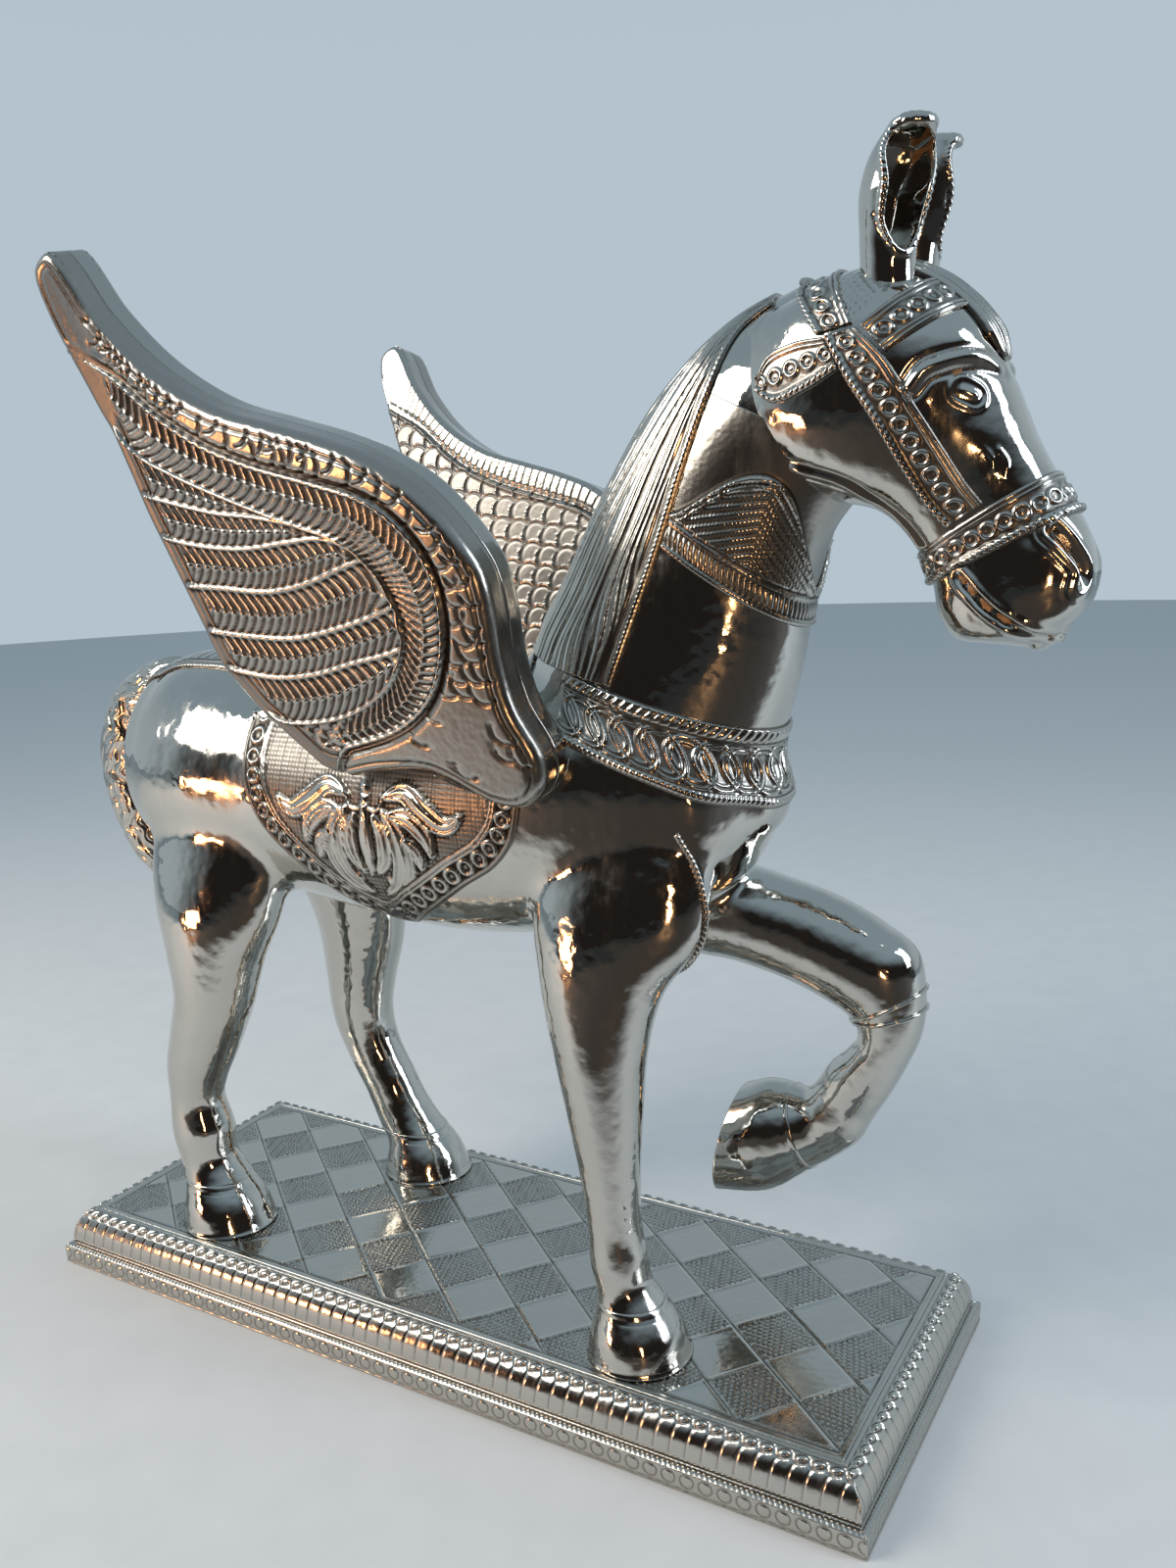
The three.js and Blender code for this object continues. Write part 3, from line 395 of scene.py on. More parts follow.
left_fore_form = [
    (94, 150, 106, 196, 18, 20), (98, 147, 112, 189, 20, 22), (114, 144, 131, 181, 19.5, 26),
    (134, 138, 152, 174, 19, 30), (150, 131, 172, 164, 18, 32), (158, 126, 186, 153, 16.5, 33),
    (161.5, 122, 189, 136, 14.5, 33.5), (162, 116, 187.5, 120, 13.5, 34), (157, 109, 182, 106, 13, 34),
    (150, 102, 175, 92, 13, 34.5), (145, 94, 168, 80, 13, 35), (141, 89, 162, 69, 13.5, 35),
    (138, 87.5, 152, 60, 13.5, 35), (133, 88, 144, 54, 15.5, 35), (122, 88, 125, 40, 20, 35),
    (111, 84, 102, 35, 21.5, 35),
]
print("sections", len(right_fore_path) + len(right_hind_path) + len(left_hind_path) + len(left_fore_form))

# %% Forms under the skin
forms = {
    "trunk": loft(trunk_form, rows=120, sides=96, domes=(4, 5)),
    "neck": loft(neck_form, rows=70, sides=96),
    "right_fore": loft(sections_along(right_fore_path), rows=110, sides=48),
    "right_hind": loft(sections_along(right_hind_path), rows=110, sides=48),
    "left_hind": loft(sections_along(left_hind_path), rows=110, sides=48),
    "left_fore": loft(left_fore_form, rows=110, sides=48),
}
print("forms", {name: grid.shape[:2] for name, grid in forms.items()})

# %% [markdown]
# ## Meshes from arrays
# A sheet has two faces and an edge. The face that shows is a fine grid, and the hidden one behind it is
# coarser, which keeps the mesh light and still closed. The Solidify modifier could add the thickness, but
# it would double the fine grid. Each mesh is turned the right way out by the sign of its volume.

# %% Meshes and pieces
def quads_of(index, wrap):
    """Four-cornered faces between the rows and columns of an array of point numbers."""
    if wrap:
        index = np.concatenate([index, index[:, :1]], 1)
    return np.stack([index[:-1, :-1], index[:-1, 1:], index[1:, 1:], index[1:, :-1]], 2).reshape(-1, 4)


def faces_of_loft(grid):
    return quads_of(np.arange(grid.shape[0] * grid.shape[1]).reshape(grid.shape[:2]), True)


def tree_of(points, faces):
    """The faces in the order that makes the nearest one, or the one that a ray hits, quick to find."""
    return BVHTree.FromPolygons(points.tolist(), faces.tolist())


def mesh_from(name, points, quads, others=(), tarnish_and_shade=None, normals=None):
    """A mesh in metres from points in millimetres, four-cornered faces and a few others.

    The darkening given for each point, which the metal's material reads, is how deep the point lies in the
    relief, and on the wings it holds painted shade as well."""
    corners = points[quads]
    volume = np.einsum("ij,ij->i", corners[:, 0], np.cross(corners[:, 1], corners[:, 2])).sum()
    volume += np.einsum("ij,ij->i", corners[:, 0], np.cross(corners[:, 2], corners[:, 3])).sum()
    step = -1 if volume < 0 else 1
    loops = np.concatenate([quads[:, ::step].ravel(), *[np.asarray(face)[::step] for face in others]])
    totals = np.concatenate([np.full(len(quads), 4), [len(face) for face in others]]).astype(int)
    mesh = bpy.data.meshes.new(name)
    mesh.vertices.add(len(points))
    mesh.vertices.foreach_set("co", (points * MM).astype(np.float32).ravel())
    mesh.loops.add(len(loops))
    mesh.loops.foreach_set("vertex_index", loops.astype(np.int32))
    mesh.polygons.add(len(totals))
    mesh.polygons.foreach_set("loop_start", np.concatenate([[0], np.cumsum(totals)[:-1]]).astype(np.int32))
    mesh.update(calc_edges=True)
    mesh.polygons.foreach_set("use_smooth", np.ones(len(totals), bool))
    depths = np.zeros(len(points)) if tarnish_and_shade is None else tarnish_and_shade
    shade = mesh.attributes.new("tarnish_and_shade", "FLOAT", "POINT")
    shade.data.foreach_set("value", depths.astype(np.float32))
    if normals is not None:
        mesh.normals_split_custom_set_from_vertices(normals.tolist())
    return mesh


slot_materials = {
    "polished_sheet": polished,
    "hair_sheet": chased,
    "feather_sheet": chased,
    "plinth_sheet": chased,
    "stamped_sheet": stamped,
    "carved_wood": mango,
}


def add_piece(name, mesh, slot, *replaced, material=None):
    """One piece in place of pieces of the frame. Its slot says the material, unless another is given."""
    piece = bpy.data.objects.new(name, mesh)
    bpy.context.scene.collection.objects.link(piece)
    mesh.materials.append(material or slot_materials[slot])
    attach(piece, "root")
    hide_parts(*replaced)


print("slots", list(slot_materials))

# %% A closed sheet between two grids
def shell(outer, inner, wrap=False, stride=3):
    """Points, quads and edge faces of a closed sheet between two grids, the inner one thinned by `stride`."""
    rows, columns = outer.shape[:2]
    keep_rows = sorted({*range(0, rows, stride), rows - 1})
    keep_columns = sorted({*range(0, columns, stride), *([] if wrap else [columns - 1])})
    near = np.arange(rows * columns).reshape(rows, columns)
    far = near.size + np.arange(len(keep_rows) * len(keep_columns)).reshape(len(keep_rows), -1)
    points = np.concatenate([outer.reshape(-1, 3), inner[np.ix_(keep_rows, keep_columns)].reshape(-1, 3)])
    quads = np.concatenate([quads_of(near, wrap), quads_of(far, wrap)[:, ::-1]])
    if wrap:
        near = np.concatenate([near, near[:, :1]], 1)
        far = np.concatenate([far, far[:, :1]], 1)
        keep_columns = keep_columns + [columns]
    edges = []

    def close(outer_edge, inner_edge, stops, turned):
        for k in range(len(stops) - 1):
            face = [*outer_edge[stops[k]:stops[k + 1] + 1], inner_edge[k + 1], inner_edge[k]]
            edges.append(face[::-1] if turned else face)

    close(near[0], far[0], keep_columns, True)
    close(near[-1], far[-1], keep_columns, False)
    if not wrap:
        close(near[:, 0], far[:, 0], keep_rows, False)
        close(near[:, -1], far[:, -1], keep_rows, True)
    return points, quads, edges


corner = np.zeros((2, 2, 3))
print("the smallest sheet has", len(shell(corner, corner, stride=1)[0]), "points")

# %% Relief on a grid
def grid_normals(grid, wrap=False, towards=None):
    """Outward normals of a grid. `towards` is a point inside, or the middle is used."""
    if wrap:
        round_ = np.roll(grid, -1, 1) - np.roll(grid, 1, 1)
    else:
        round_ = np.gradient(grid, axis=1)
    normals = np.cross(np.gradient(grid, axis=0), round_)
    normals /= np.maximum(np.linalg.norm(normals, axis=2, keepdims=True), 1e-9)
    inside = grid.mean(1, keepdims=True) if towards is None else towards
    outward = (normals * (grid - inside)).sum()
    return normals if outward > 0 else -normals


def blurred(values, passes, wrap=False):
    """Evens out a grid of numbers or points."""
    for _ in range(passes):
        padded = np.concatenate([values[:1], values, values[-1:]])
        if wrap:
            padded = np.concatenate([padded[:, -1:], padded, padded[:, :1]], 1)
        else:
            padded = np.concatenate([padded[:, :1], padded, padded[:, -1:]], 1)
        beside = padded[:-2, 1:-1] + padded[2:, 1:-1] + padded[1:-1, :-2] + padded[1:-1, 2:]
        values = beside / 8 + values / 2
    return values


def recess_of(relief, wrap=False, depth=0.35, passes=10):
    """How deep each point lies beneath its surroundings, from 0 to 1."""
    return np.clip((blurred(relief, passes, wrap) - relief) / depth - 0.1, 0, 1)


def lowest_near(values, reach, wrap=False):
    """The least value within a few steps of each place of a grid."""
    for axis in (0, 1):
        room = [(0, 0), (0, 0)]
        room[axis] = (reach, reach)
        padded = np.pad(values, room, mode="wrap" if wrap and axis else "edge")
        values = np.lib.stride_tricks.sliding_window_view(padded, 2 * reach + 1, axis).min(-1)
    return values


print("a bump evened out", blurred(np.eye(3), 1)[1].round(2))

# %% Chased sheets
SHEET = 0.6             # thickness of the cladding, mm
LEAST = 0.25            # thickness that is left of a sheet under its deepest lines, mm


def chased_piece(name, base, relief, slot, *replaced, thickness=SHEET, lift=-SHEET, wrap=False, depth=0.35,
                 towards=None, stride=3, polish_and_shade=0.0):
    """A closed sheet over a grid: its outside is raised by the relief, its inside stays beneath the relief.

    It replaces the frame's piece of its name, or the pieces that are named.
    `polish_and_shade` is the dark polish that stays where the punch left no smooth metal."""
    normals = grid_normals(base, wrap, towards)
    outer = base + normals * (lift + thickness + relief)[..., None]
    sunk = np.minimum(lowest_near(relief + thickness, stride, wrap) - LEAST, 0)
    inner = base + normals * (lift + sunk)[..., None]
    points, quads, edges = shell(outer, inner, wrap, stride)
    tarnish_and_shade = np.zeros(len(points))
    tarnish_and_shade[:relief.size] = np.minimum(recess_of(relief, wrap, depth) + polish_and_shade, 1).ravel()
    mesh = mesh_from(name, points, quads, edges, tarnish_and_shade)
    add_piece("clad_" + name, mesh, slot, *(replaced or [name]))


print("cladding", SHEET, "mm thick")

# %% [markdown]
# ## Trunk, neck and legs
# The cladding of the body looks like one skin with soft hollows where the limbs join. Booleans would leave
# sharp creases there. So the closed lofts are joined by a voxel remesh, which keeps the outside of them
# all. Smoothing evens out its steps, and more of it where two forms meet turns the creases into fillets.
# The skin is then cut into its sheets along the real seams.

# %% Closed lofts
def stacked(grids):
    """Points, quads and end caps of several closed lofts, numbered as one mesh."""
    points, quads, caps = [], [], []
    start = 0
    for grid in grids:
        sides = grid.shape[1]
        points.append(grid.reshape(-1, 3))
        quads.append(start + faces_of_loft(grid))
        first = start + np.arange(sides)
        start += len(points[-1])
        caps += [first[::-1], start - sides + np.arange(sides)]
    return np.concatenate(points), np.concatenate(quads), caps


def shrunk(grid, depth):
    """A thinned grid beneath a skin, for the wood inside a sheet."""
    return (grid - grid_normals(grid, True) * depth)[::4, ::4]


def closed_lofts(name, grids, slot, *replaced, material=None):
    """One mesh of separate closed lofts."""
    points, quads, caps = stacked(grids)
    add_piece(name, mesh_from(name, points, quads, caps), slot, *replaced, material=material)


print("closed lofts of", sum(len(grid) for grid in forms.values()), "rings")

# %% Join and even out
MOVE_IN, MOVE_OUT = 0.55, -0.5          # shares of the way to the neighbours' middle


def joined_skin(grids, voxel_mm, rounds):
    points, quads, caps = stacked(grids)
    mesh = bpy.data.meshes.new("joined")
    mesh.from_pydata(points * MM, [], quads.tolist() + [list(cap) for cap in caps])
    joined = bpy.data.objects.new("joined", mesh)
    bpy.context.scene.collection.objects.link(joined)
    remesh = joined.modifiers.new("voxels", "REMESH")
    remesh.mode = "VOXEL"
    remesh.voxel_size = voxel_mm * MM
    result = joined.evaluated_get(bpy.context.evaluated_depsgraph_get()).to_mesh()
    skin = np.empty(len(result.vertices) * 3)
    result.vertices.foreach_get("co", skin)
    skin = skin.reshape(-1, 3) / MM
    faces = np.empty(len(result.polygons) * 4, int)
    result.polygons.foreach_get("vertices", faces)
    faces = faces.reshape(-1, 4)
    bpy.data.objects.remove(joined)
    return smoothed(skin, faces, [MOVE_IN, MOVE_OUT] * rounds), faces


def smoothed(points, faces, steps, share=1.0):
    """Moves each point of a mesh by the given steps towards the middle of its neighbours.

    Steps that go in and then out again even a mesh out without shrinking it."""
    ends = np.concatenate([faces, np.roll(faces, -1, 1)], 1).reshape(len(faces), 2, 4)
    a, b = ends[:, 0].ravel(), ends[:, 1].ravel()
    count = np.bincount(a, minlength=len(points)) + np.bincount(b, minlength=len(points))
    for step in steps:
        total = [np.bincount(a, points[b, k], len(points)) + np.bincount(b, points[a, k], len(points))
                 for k in range(3)]
        total = np.stack(total, 1)
        points = points + step * share * (total / count[:, None] - points)
    return points


print("smoothing moves in by", MOVE_IN, "and out by", -MOVE_OUT)

# %% One skin over all limbs
VOXEL = 1.5             # mm
EVENING_ROUNDS = 14
FILLET_ROUNDS = 50
FILLET_STEP = 0.6
JOINT_REACH = 7         # how far the fillets between the limbs and the trunk reach, mm
skin_points, skin_faces = joined_skin(list(forms.values()), VOXEL, EVENING_ROUNDS)
gaps = np.empty((len(forms), len(skin_points)))
for row, grid in enumerate(forms.values()):
    tree = tree_of(grid.reshape(-1, 3), faces_of_loft(grid))
    gaps[row] = [tree.find_nearest(place)[3] for place in skin_points.tolist()]
at_joint = np.exp(-(np.sort(gaps, 0)[:2].sum(0) / JOINT_REACH) ** 2)
skin_points = smoothed(skin_points, skin_faces, [FILLET_STEP] * FILLET_ROUNDS, at_joint[:, None])
skin_tree = tree_of(skin_points, skin_faces)
print("skin of", len(skin_faces), "faces")

# %% Sheets from the skin
def vertex_normals(points, faces):
    corners = points[faces]
    flat = np.cross(corners[:, 2] - corners[:, 0], corners[:, 3] - corners[:, 1])
    total = [np.bincount(faces.ravel(), np.repeat(flat[:, k], 4), len(points)) for k in range(3)]
    total = np.stack(total, 1)
    return total / np.maximum(np.linalg.norm(total, axis=1), 1e-9)[:, None]


CORONET = 21            # top of a standing hoof, above the plinth
HOOF_OVERLAP = 4        # how far a leg's sheet goes down inside the hoof's cuff
# Planes across the raised leg: a point, and the direction of the hoof from there in side view
KNEE = (np.array([176, 0, 134 + plinth_top]), np.radians(-65))
RAISED_CORONET = (np.array([138.5, 0, 71 + plinth_top]), np.radians(198))


def beyond(places, plane, slack=0.0):
    """Which places lie past a plane that stands across the middle plane, facing a direction in side view."""
    point, heading = plane
    return (places - point) @ np.array([np.cos(heading), 0, np.sin(heading)]) > slack


def sheet_of(name, chosen):
    """A closed sheet from some of the skin's faces, shaded as the whole skin is."""
    faces = skin_faces[chosen]
    used, local = np.unique(faces, return_inverse=True)
    faces = local.reshape(-1, 4)
    outer, normals = skin_points[used], skin_normals[used]
    count = len(used)
    forward = np.stack([faces, np.roll(faces, -1, 1)], 2).reshape(-1, 2)
    keys = forward[:, 0] * count + forward[:, 1]
    rim = forward[~np.isin(keys, forward[:, 1] * count + forward[:, 0])]
    edge = np.stack([rim[:, 1], rim[:, 0], rim[:, 0] + count, rim[:, 1] + count], 1)
    points = np.concatenate([outer, outer - normals * SHEET])
    quads = np.concatenate([faces, faces[:, ::-1] + count, edge])
    mesh = mesh_from(name, points, quads, normals=np.concatenate([normals, -normals]))
    add_piece("clad_" + name, mesh, "polished_sheet", name)


print("knee", KNEE[0], "coronet", RAISED_CORONET[0])

# %% Share the skin out to its sheets
skin_normals = vertex_normals(skin_points, skin_faces)
if ((skin_points - skin_points.mean(0)) * skin_normals).sum() < 0:
    skin_normals = -skin_normals
centres = skin_points[skin_faces].mean(1)
owner = gaps[:, skin_faces].mean(2).argmin(0)
is_form = {name: owner == row for row, name in enumerate(forms)}
past_knee = beyond(centres, KNEE)
above_hooves = centres[:, 2] > plinth_top + CORONET - HOOF_OVERLAP
sheets = {
    "trunk_sheet_right": is_form["trunk"] & (centres[:, 1] < 0),
    "trunk_sheet_left": is_form["trunk"] & (centres[:, 1] >= 0),
    "neck_sheet": is_form["neck"],
    "right_fore_leg_sheet": is_form["right_fore"] & above_hooves,
    "right_hind_leg_sheet": is_form["right_hind"] & above_hooves,
    "left_hind_leg_sheet": is_form["left_hind"] & above_hooves,
    "left_forearm_sheet": is_form["left_fore"] & ~past_knee,
    "left_shin_sheet": is_form["left_fore"] & past_knee & ~beyond(centres, RAISED_CORONET, HOOF_OVERLAP),
}
for name, chosen in sheets.items():
    sheet_of(name, chosen)
print("sheets", {name: int(chosen.sum()) for name, chosen in sheets.items()})

# %% [markdown]
# ## Relief drawn by distance
# A chasing punch follows a line. So most of the relief here is a function of how far a point lies from a
# line: a hump beside it or a groove under it. The same few functions make the hair, the feathers and the
# face.

# %% Distance to lines
def nearest_on(points, line):
    """Distance to a bent line, how far along it the nearest place lies, and which side flat points are on."""
    line = np.asarray(line, float)
    best = np.full(len(points), 1e9)
    along, side = np.zeros(len(points)), np.zeros(len(points))
    for a, b, start in zip(line[:-1], line[1:], run_lengths(line)):
        run = b - a
        t = np.clip(((points - a) @ run) / (run @ run), 0, 1)
        offset = points - a - t[:, None] * run
        distance = np.linalg.norm(offset, axis=1)
        closer = distance < best
        best[closer] = distance[closer]
        along[closer] = start + t[closer] * np.sqrt(run @ run)
        if points.shape[1] == 2:
            side[closer] = np.sign(run[0] * offset[closer, 1] - run[1] * offset[closer, 0])
    return best, along, side


def hump(distance, width):
    return np.exp(-(distance / width) ** 2)


def ease(value):
    value = np.clip(value, 0, 1)
    return value * value * (3 - 2 * value)


def pleats(phase, sharpness=0.7):
    """Rounded ridges with narrow grooves between them, one for each whole number of `phase`."""
    return np.abs(np.sin(np.pi * phase)) ** sharpness


print("hump at its width", round(float(hump(1.0, 1.0)), 2))

# %% [markdown]
# ## Head
# The head is one carved piece with sunk eye sockets, a fold above the eye, flared nostrils, a mouth line
# and a rib along the jaw. The lines are given on the right side, by points read off the real one, and
# mirrored.

# %% Lines of the face
def mirrored(line):
    return [np.array([(x, -y * side, z + plinth_top) for x, y, z in line]) for side in (1, -1)]


# Lines on the right side, the steps they are drawn in, and their ridges and grooves. Each of these is a
# height, how far from the line it lies, and its width, in mm.
face_lines = [
    # the eye: its ball, the socket round it, the rim of the lids and a groove inside them
    ([(213.9, 22.3, 358.2), (217.4, 21.2, 356.7)], 2,
     [(1.8, 0, 2.5), (-1.8, 0, 11), (0.8, 4.2, 0.8), (-0.4, 1.5, 0.5)]),
    # the fold above the eye
    ([(199, 27.5, 360), (202.6, 27, 364.5), (208.8, 24.3, 367), (217.8, 17, 368.5), (224, 8, 366)], 24,
     [(1.9, 0, 2.2), (-0.8, 3.6, 0.9)]),
    # the nostril between its swollen rims
    ([(240.2, 14.8, 315), (245.5, 13.1, 309.1), (248.8, 10.0, 301.6), (246, 10, 297)], 16,
     [(-2.4, 0, 1.6), (1.1, 3.4, 1.3), (0.4, 6.2, 0.6)]),
    # the mouth between its lips
    ([(212, 19, 301), (215.9, 18.7, 297), (220.5, 19.4, 292.2), (225.7, 18.8, 288), (231, 16.7, 284.8),
      (237, 10, 283), (240, 0, 282.6)], 30, [(-1.8, 0, 1.1), (0.9, 2.6, 1.2)]),
    # the rib along the jaw
    ([(136, 22, 342), (150, 24, 338), (163, 23, 336), (175.8, 21.6, 331.6), (183.6, 17.5, 325.5),
      (193.5, 14.9, 317), (198.4, 13.6, 311)], 40, [(1.5, 0, 1.4), (-0.5, 3.0, 0.9)]),
    # two wrinkles under the eye
    ([(219.5, 20, 341), (222.2, 19.4, 337.6), (222.5, 19.2, 334)], 10, [(0.8, 0, 0.7)]),
    ([(224, 18, 340), (226.4, 17.4, 336), (226, 17.5, 332.5)], 10, [(0.8, 0, 0.7)]),
]
print("lines of the face", len(face_lines))

# %% Head
PATCH = (179, 391, 9)           # x, height and radius of the matted patch beneath each ear, mm
head = loft(head_form, rows=230, sides=288, fullness=0.8, domes=(6, 3))
flat = head.reshape(-1, 3)
relief = np.zeros(len(flat))
for line, steps, cuts in face_lines:
    for mirror_line in mirrored(line):
        away = nearest_on(flat, curve_through(mirror_line, steps))[0]
        for height, offset, width in cuts:
            relief += height * hump(away - offset, width)
patch = ease((PATCH[2] - np.hypot(flat[:, 0] - PATCH[0], flat[:, 2] - plinth_top - PATCH[1])) / 2)
relief += 0.35 * patch * np.cos(flat[:, 0] * 2) * np.cos(flat[:, 2] * 2)
relief = relief.reshape(head.shape[:2])
chased_piece("head_sheet", head, relief, "polished_sheet", wrap=True, depth=1.2)
head_outside = head + grid_normals(head, True) * relief[..., None]
head_points, head_faces = head_outside.reshape(-1, 3), faces_of_loft(head)
head_tree = tree_of(head_points, head_faces)
whole_tree = tree_of(np.concatenate([skin_points, head_points]),
                     np.concatenate([skin_faces, head_faces + len(skin_points)]))
print("head", relief.shape, "relief", relief.min().round(2), "to", relief.max().round(2))

# %% [markdown]
# ## Ears
# Each ear is a leaf of carved wood that is hollowed towards the front and the side, with sheet all over it
# and a milled rim. Two half shells could be joined at the rim. Here one loft is enough: inside the rim its
# points are sunk straight back, deeper towards the middle, so the hollow and the back are one closed
# surface.

# %% Hollowed ears
EAR_CUP = np.radians(38)        # which way the hollow opens, outwards from straight ahead
EAR_DISH = 0.5                  # how far behind the ear's middle the hollow reaches, in half depths
EAR_SIDES = 180
ear_sections = [
    (178, 386, 195, 388, 7.5, 12), (177.5, 408, 196, 407, 8.7, 13), (178, 422, 200, 420, 10, 14),
    (181.5, 432, 202, 430, 9, 14.3), (187, 439.5, 202, 438, 6.5, 14.5),
]


def ear_grid(side):
    """The hollowed ear, and the milled rim round its hollow."""
    sections = [(a, b, c, d, half, side * y) for a, b, c, d, half, y in ear_sections]
    grid = loft(sections, rows=120, sides=EAR_SIDES, domes=(0, 3.5))
    rise = np.linspace(0, 1, len(grid))[:, None]
    middle = grid.mean(1, keepdims=True)
    turn = np.linspace(0, 2 * np.pi, EAR_SIDES, endpoint=False)[None, :] - side * EAR_CUP
    turn = (turn + np.pi) % (2 * np.pi) - np.pi
    # the hollow's half width as an angle, and how far inside the hollow's rim each point lies
    opening = np.radians(22 + 26 * ease((rise - 0.26) / 0.2) + 30 * ease((rise - 0.6) / 0.3))
    inwards = [(opening - np.abs(turn)) * 9, (0.95 - rise) * 56, (rise - 0.27) * 56]
    inwards = -np.log(sum(np.exp(-0.6 * gap) for gap in inwards)) / 0.6
    ahead = np.array([np.cos(EAR_CUP), side * np.sin(EAR_CUP), 0])
    forward = (grid - middle) @ ahead
    room = forward.max(1, keepdims=True)
    sink = (forward + EAR_DISH * room) * ease(inwards / 4.5)
    cupped = grid - ahead * np.maximum(sink, 0)[..., None]
    run = run_lengths(grid[:, 0])[:, None] + 4 * np.abs(turn) * ease((rise - 0.75) / 0.2)
    rim = 0.9 * hump(inwards + 0.9, 0.9) * (0.35 + 0.65 * pleats(run / 2.4, 0.7))
    return cupped, np.where(rise < 0.3, 0.4 * hump(inwards + 0.9, 0.9), rim)


print("ear of", len(ear_sections), "sections")

# %% Ears
UNDER_SHEET = 0.95      # from the outside of a sheet to the wood beneath it, mm
carvings = [shrunk(head_outside, UNDER_SHEET)]
for name, side in (("right", -1), ("left", 1)):
    ear, milled = ear_grid(side)
    chased_piece(f"{name}_ear_sheet", ear, milled, "polished_sheet", wrap=True, depth=0.8)
    carvings.append(shrunk(blurred(ear, 3, wrap=True), UNDER_SHEET))
closed_lofts("carved_head_wood", carvings, "carved_wood", "head_wood")
print("ears", 2)

# %% [markdown]
# ## Hooves
# Each standing hoof is a smooth bell with a turned lip at its top, over the end of the leg's sheet. Level
# slices through the loft give a flat lower edge, a hair above the plinth. The raised hoof ends in a flat
# sole.

# %% Hooves
def standing_hoof(name, path):
    fine = loft(sections_along(path), rows=500, sides=96)
    levels = plinth_top + np.linspace(CORONET + 1.5, 0.3, 42)
    grid = np.empty((len(levels), fine.shape[1], 3))
    for column in range(fine.shape[1]):
        line = fine[::-1, column]
        for axis in range(3):
            grid[:, column, axis] = np.interp(levels, line[:, 2], line[:, axis])
    fall = (levels - plinth_top)[:, None]
    lip = 0.22 * hump(fall - CORONET - 0.6, 0.9) - 0.15 * hump(fall - CORONET + 1.6, 0.7)
    lip += 0.5 * hump(fall, 1.2)
    lip = np.repeat(lip, grid.shape[1], 1)
    chased_piece(f"{name}_hoof_sheet", grid, lip, "polished_sheet", wrap=True)


standing_hoof("right_fore", right_fore_path)
standing_hoof("right_hind", right_hind_path)
standing_hoof("left_hind", left_hind_path)

fine = loft(left_fore_form, rows=320, sides=96)
foot = fine[len(fine) // 2:]
bell = foot[beyond(foot.mean(1), RAISED_CORONET, -1.0)]
middle = bell[-1].mean(0)
sole = [middle + (bell[-1] - middle) * share for share in (0.985, 0.95, 0.8, 0.6, 0.4, 0.2, 0.01)]
grid = np.concatenate([bell, sole])
from_cuff = run_lengths(grid.mean(1))[:, None]
lip = 0.22 * hump(from_cuff - 1, 0.9) - 0.15 * hump(from_cuff - 3, 0.7)
lip = np.repeat(lip, grid.shape[1], 1)
chased_piece("left_fore_hoof_sheet", grid, lip, "polished_sheet", wrap=True)
print("hooves", 4)

# %% [markdown]
# ## Tail
# The tail hangs in wavy locks. Its relief is pleats round the tail whose phase wanders along it, so that
# the hairs run down it in slow waves, with finer hairs between the deep partings.

# %% Tail
tail = loft(sections_along(tail_path), rows=260, sides=160, domes=(0, 2))
down = run_lengths(tail.mean(1))[:, None]
around = np.linspace(0, 1, tail.shape[1], endpoint=False)[None, :]
sway = 0.35 * np.sin(2 * np.pi * down / 34) + 0.12 * np.sin(2 * np.pi * down / 13 + 1)
locks = pleats(around * 9 + sway)
hairs = pleats(around * 36 + 3 * sway + 0.3 * np.sin(2 * np.pi * down / 9 + 12 * around))
relief = 1.3 * locks + 0.55 * hairs - 0.7
chased_piece("tail_sheet", tail, relief, "hair_sheet", wrap=True, depth=0.8)
print("tail", relief.shape)

# %% [markdown]
# ## Wood beneath the smooth sheets
# The frame's wood has flat sides, and its corners would show through a sheet that is smoother than they
# are. So the same forms are drawn once more, coarser and a little smaller, as the wood that the sheets are
# really wrapped round.

# %% Wood beneath
WOOD_DEPTH = 2.2        # from the outside of a smooth sheet to the wood, mm
TAIL_WOOD_DEPTH = 2.4
FOOT = plinth_top + 0.4
above_plinth = {}
for name, grid in forms.items():
    wood = shrunk(grid, WOOD_DEPTH)
    wood = wood[wood[..., 2].mean(1) > FOOT]
    above_plinth[name] = np.concatenate([wood[:, :, :2], np.maximum(wood[:, :, 2:], FOOT)], 2)
at_knee = int(np.argmax(beyond(above_plinth["left_fore"].mean(1), KNEE)))
inside_pieces = {
    "trunk_wood": above_plinth["trunk"],
    "neck_wood": above_plinth["neck"],
    "right_fore_leg_wood": above_plinth["right_fore"],
    "right_hind_leg_wood": above_plinth["right_hind"],
    "left_hind_leg_wood": above_plinth["left_hind"],
    "left_forearm_wood": above_plinth["left_fore"][:at_knee + 1],
    "left_shin_wood": above_plinth["left_fore"][at_knee:],
    "tail_wood": shrunk(tail, TAIL_WOOD_DEPTH),
}
for name, grid in inside_pieces.items():
    closed_lofts("carved_" + name, [grid], "carved_wood", name)
print("wood", {name: grid.shape[:2] for name, grid in inside_pieces.items()})

# %% [markdown]
# ## Wings
# Each wing is a flat board with a rounded edge, clad by an outer and an inner sheet that meet half way
# round the edge. The outer face has a broad leading band with scale-shaped punch marks and, inside a sharp
# crease, long feathers with herringbone barbs. A grid that follows the wing is the key: one direction runs
# along the crease from the tip to the root, the other from the leading edge over the crease to the trailing
# edge, so the mesh bends with the feathers.

# %% The wing's lines
WING_THICKNESS = 20
WING_ROUNDING = 3
WING_LEAN = np.radians(10.8)
WING_ROOT = (66, 221)           # x and height of the root's lower corner
WING_OUT = 60                   # outer face at the root, from the middle plane
LEFT_SCALE = 0.86               # the left wing is a smaller one and sits a little higher
LEFT_RAISE = 4

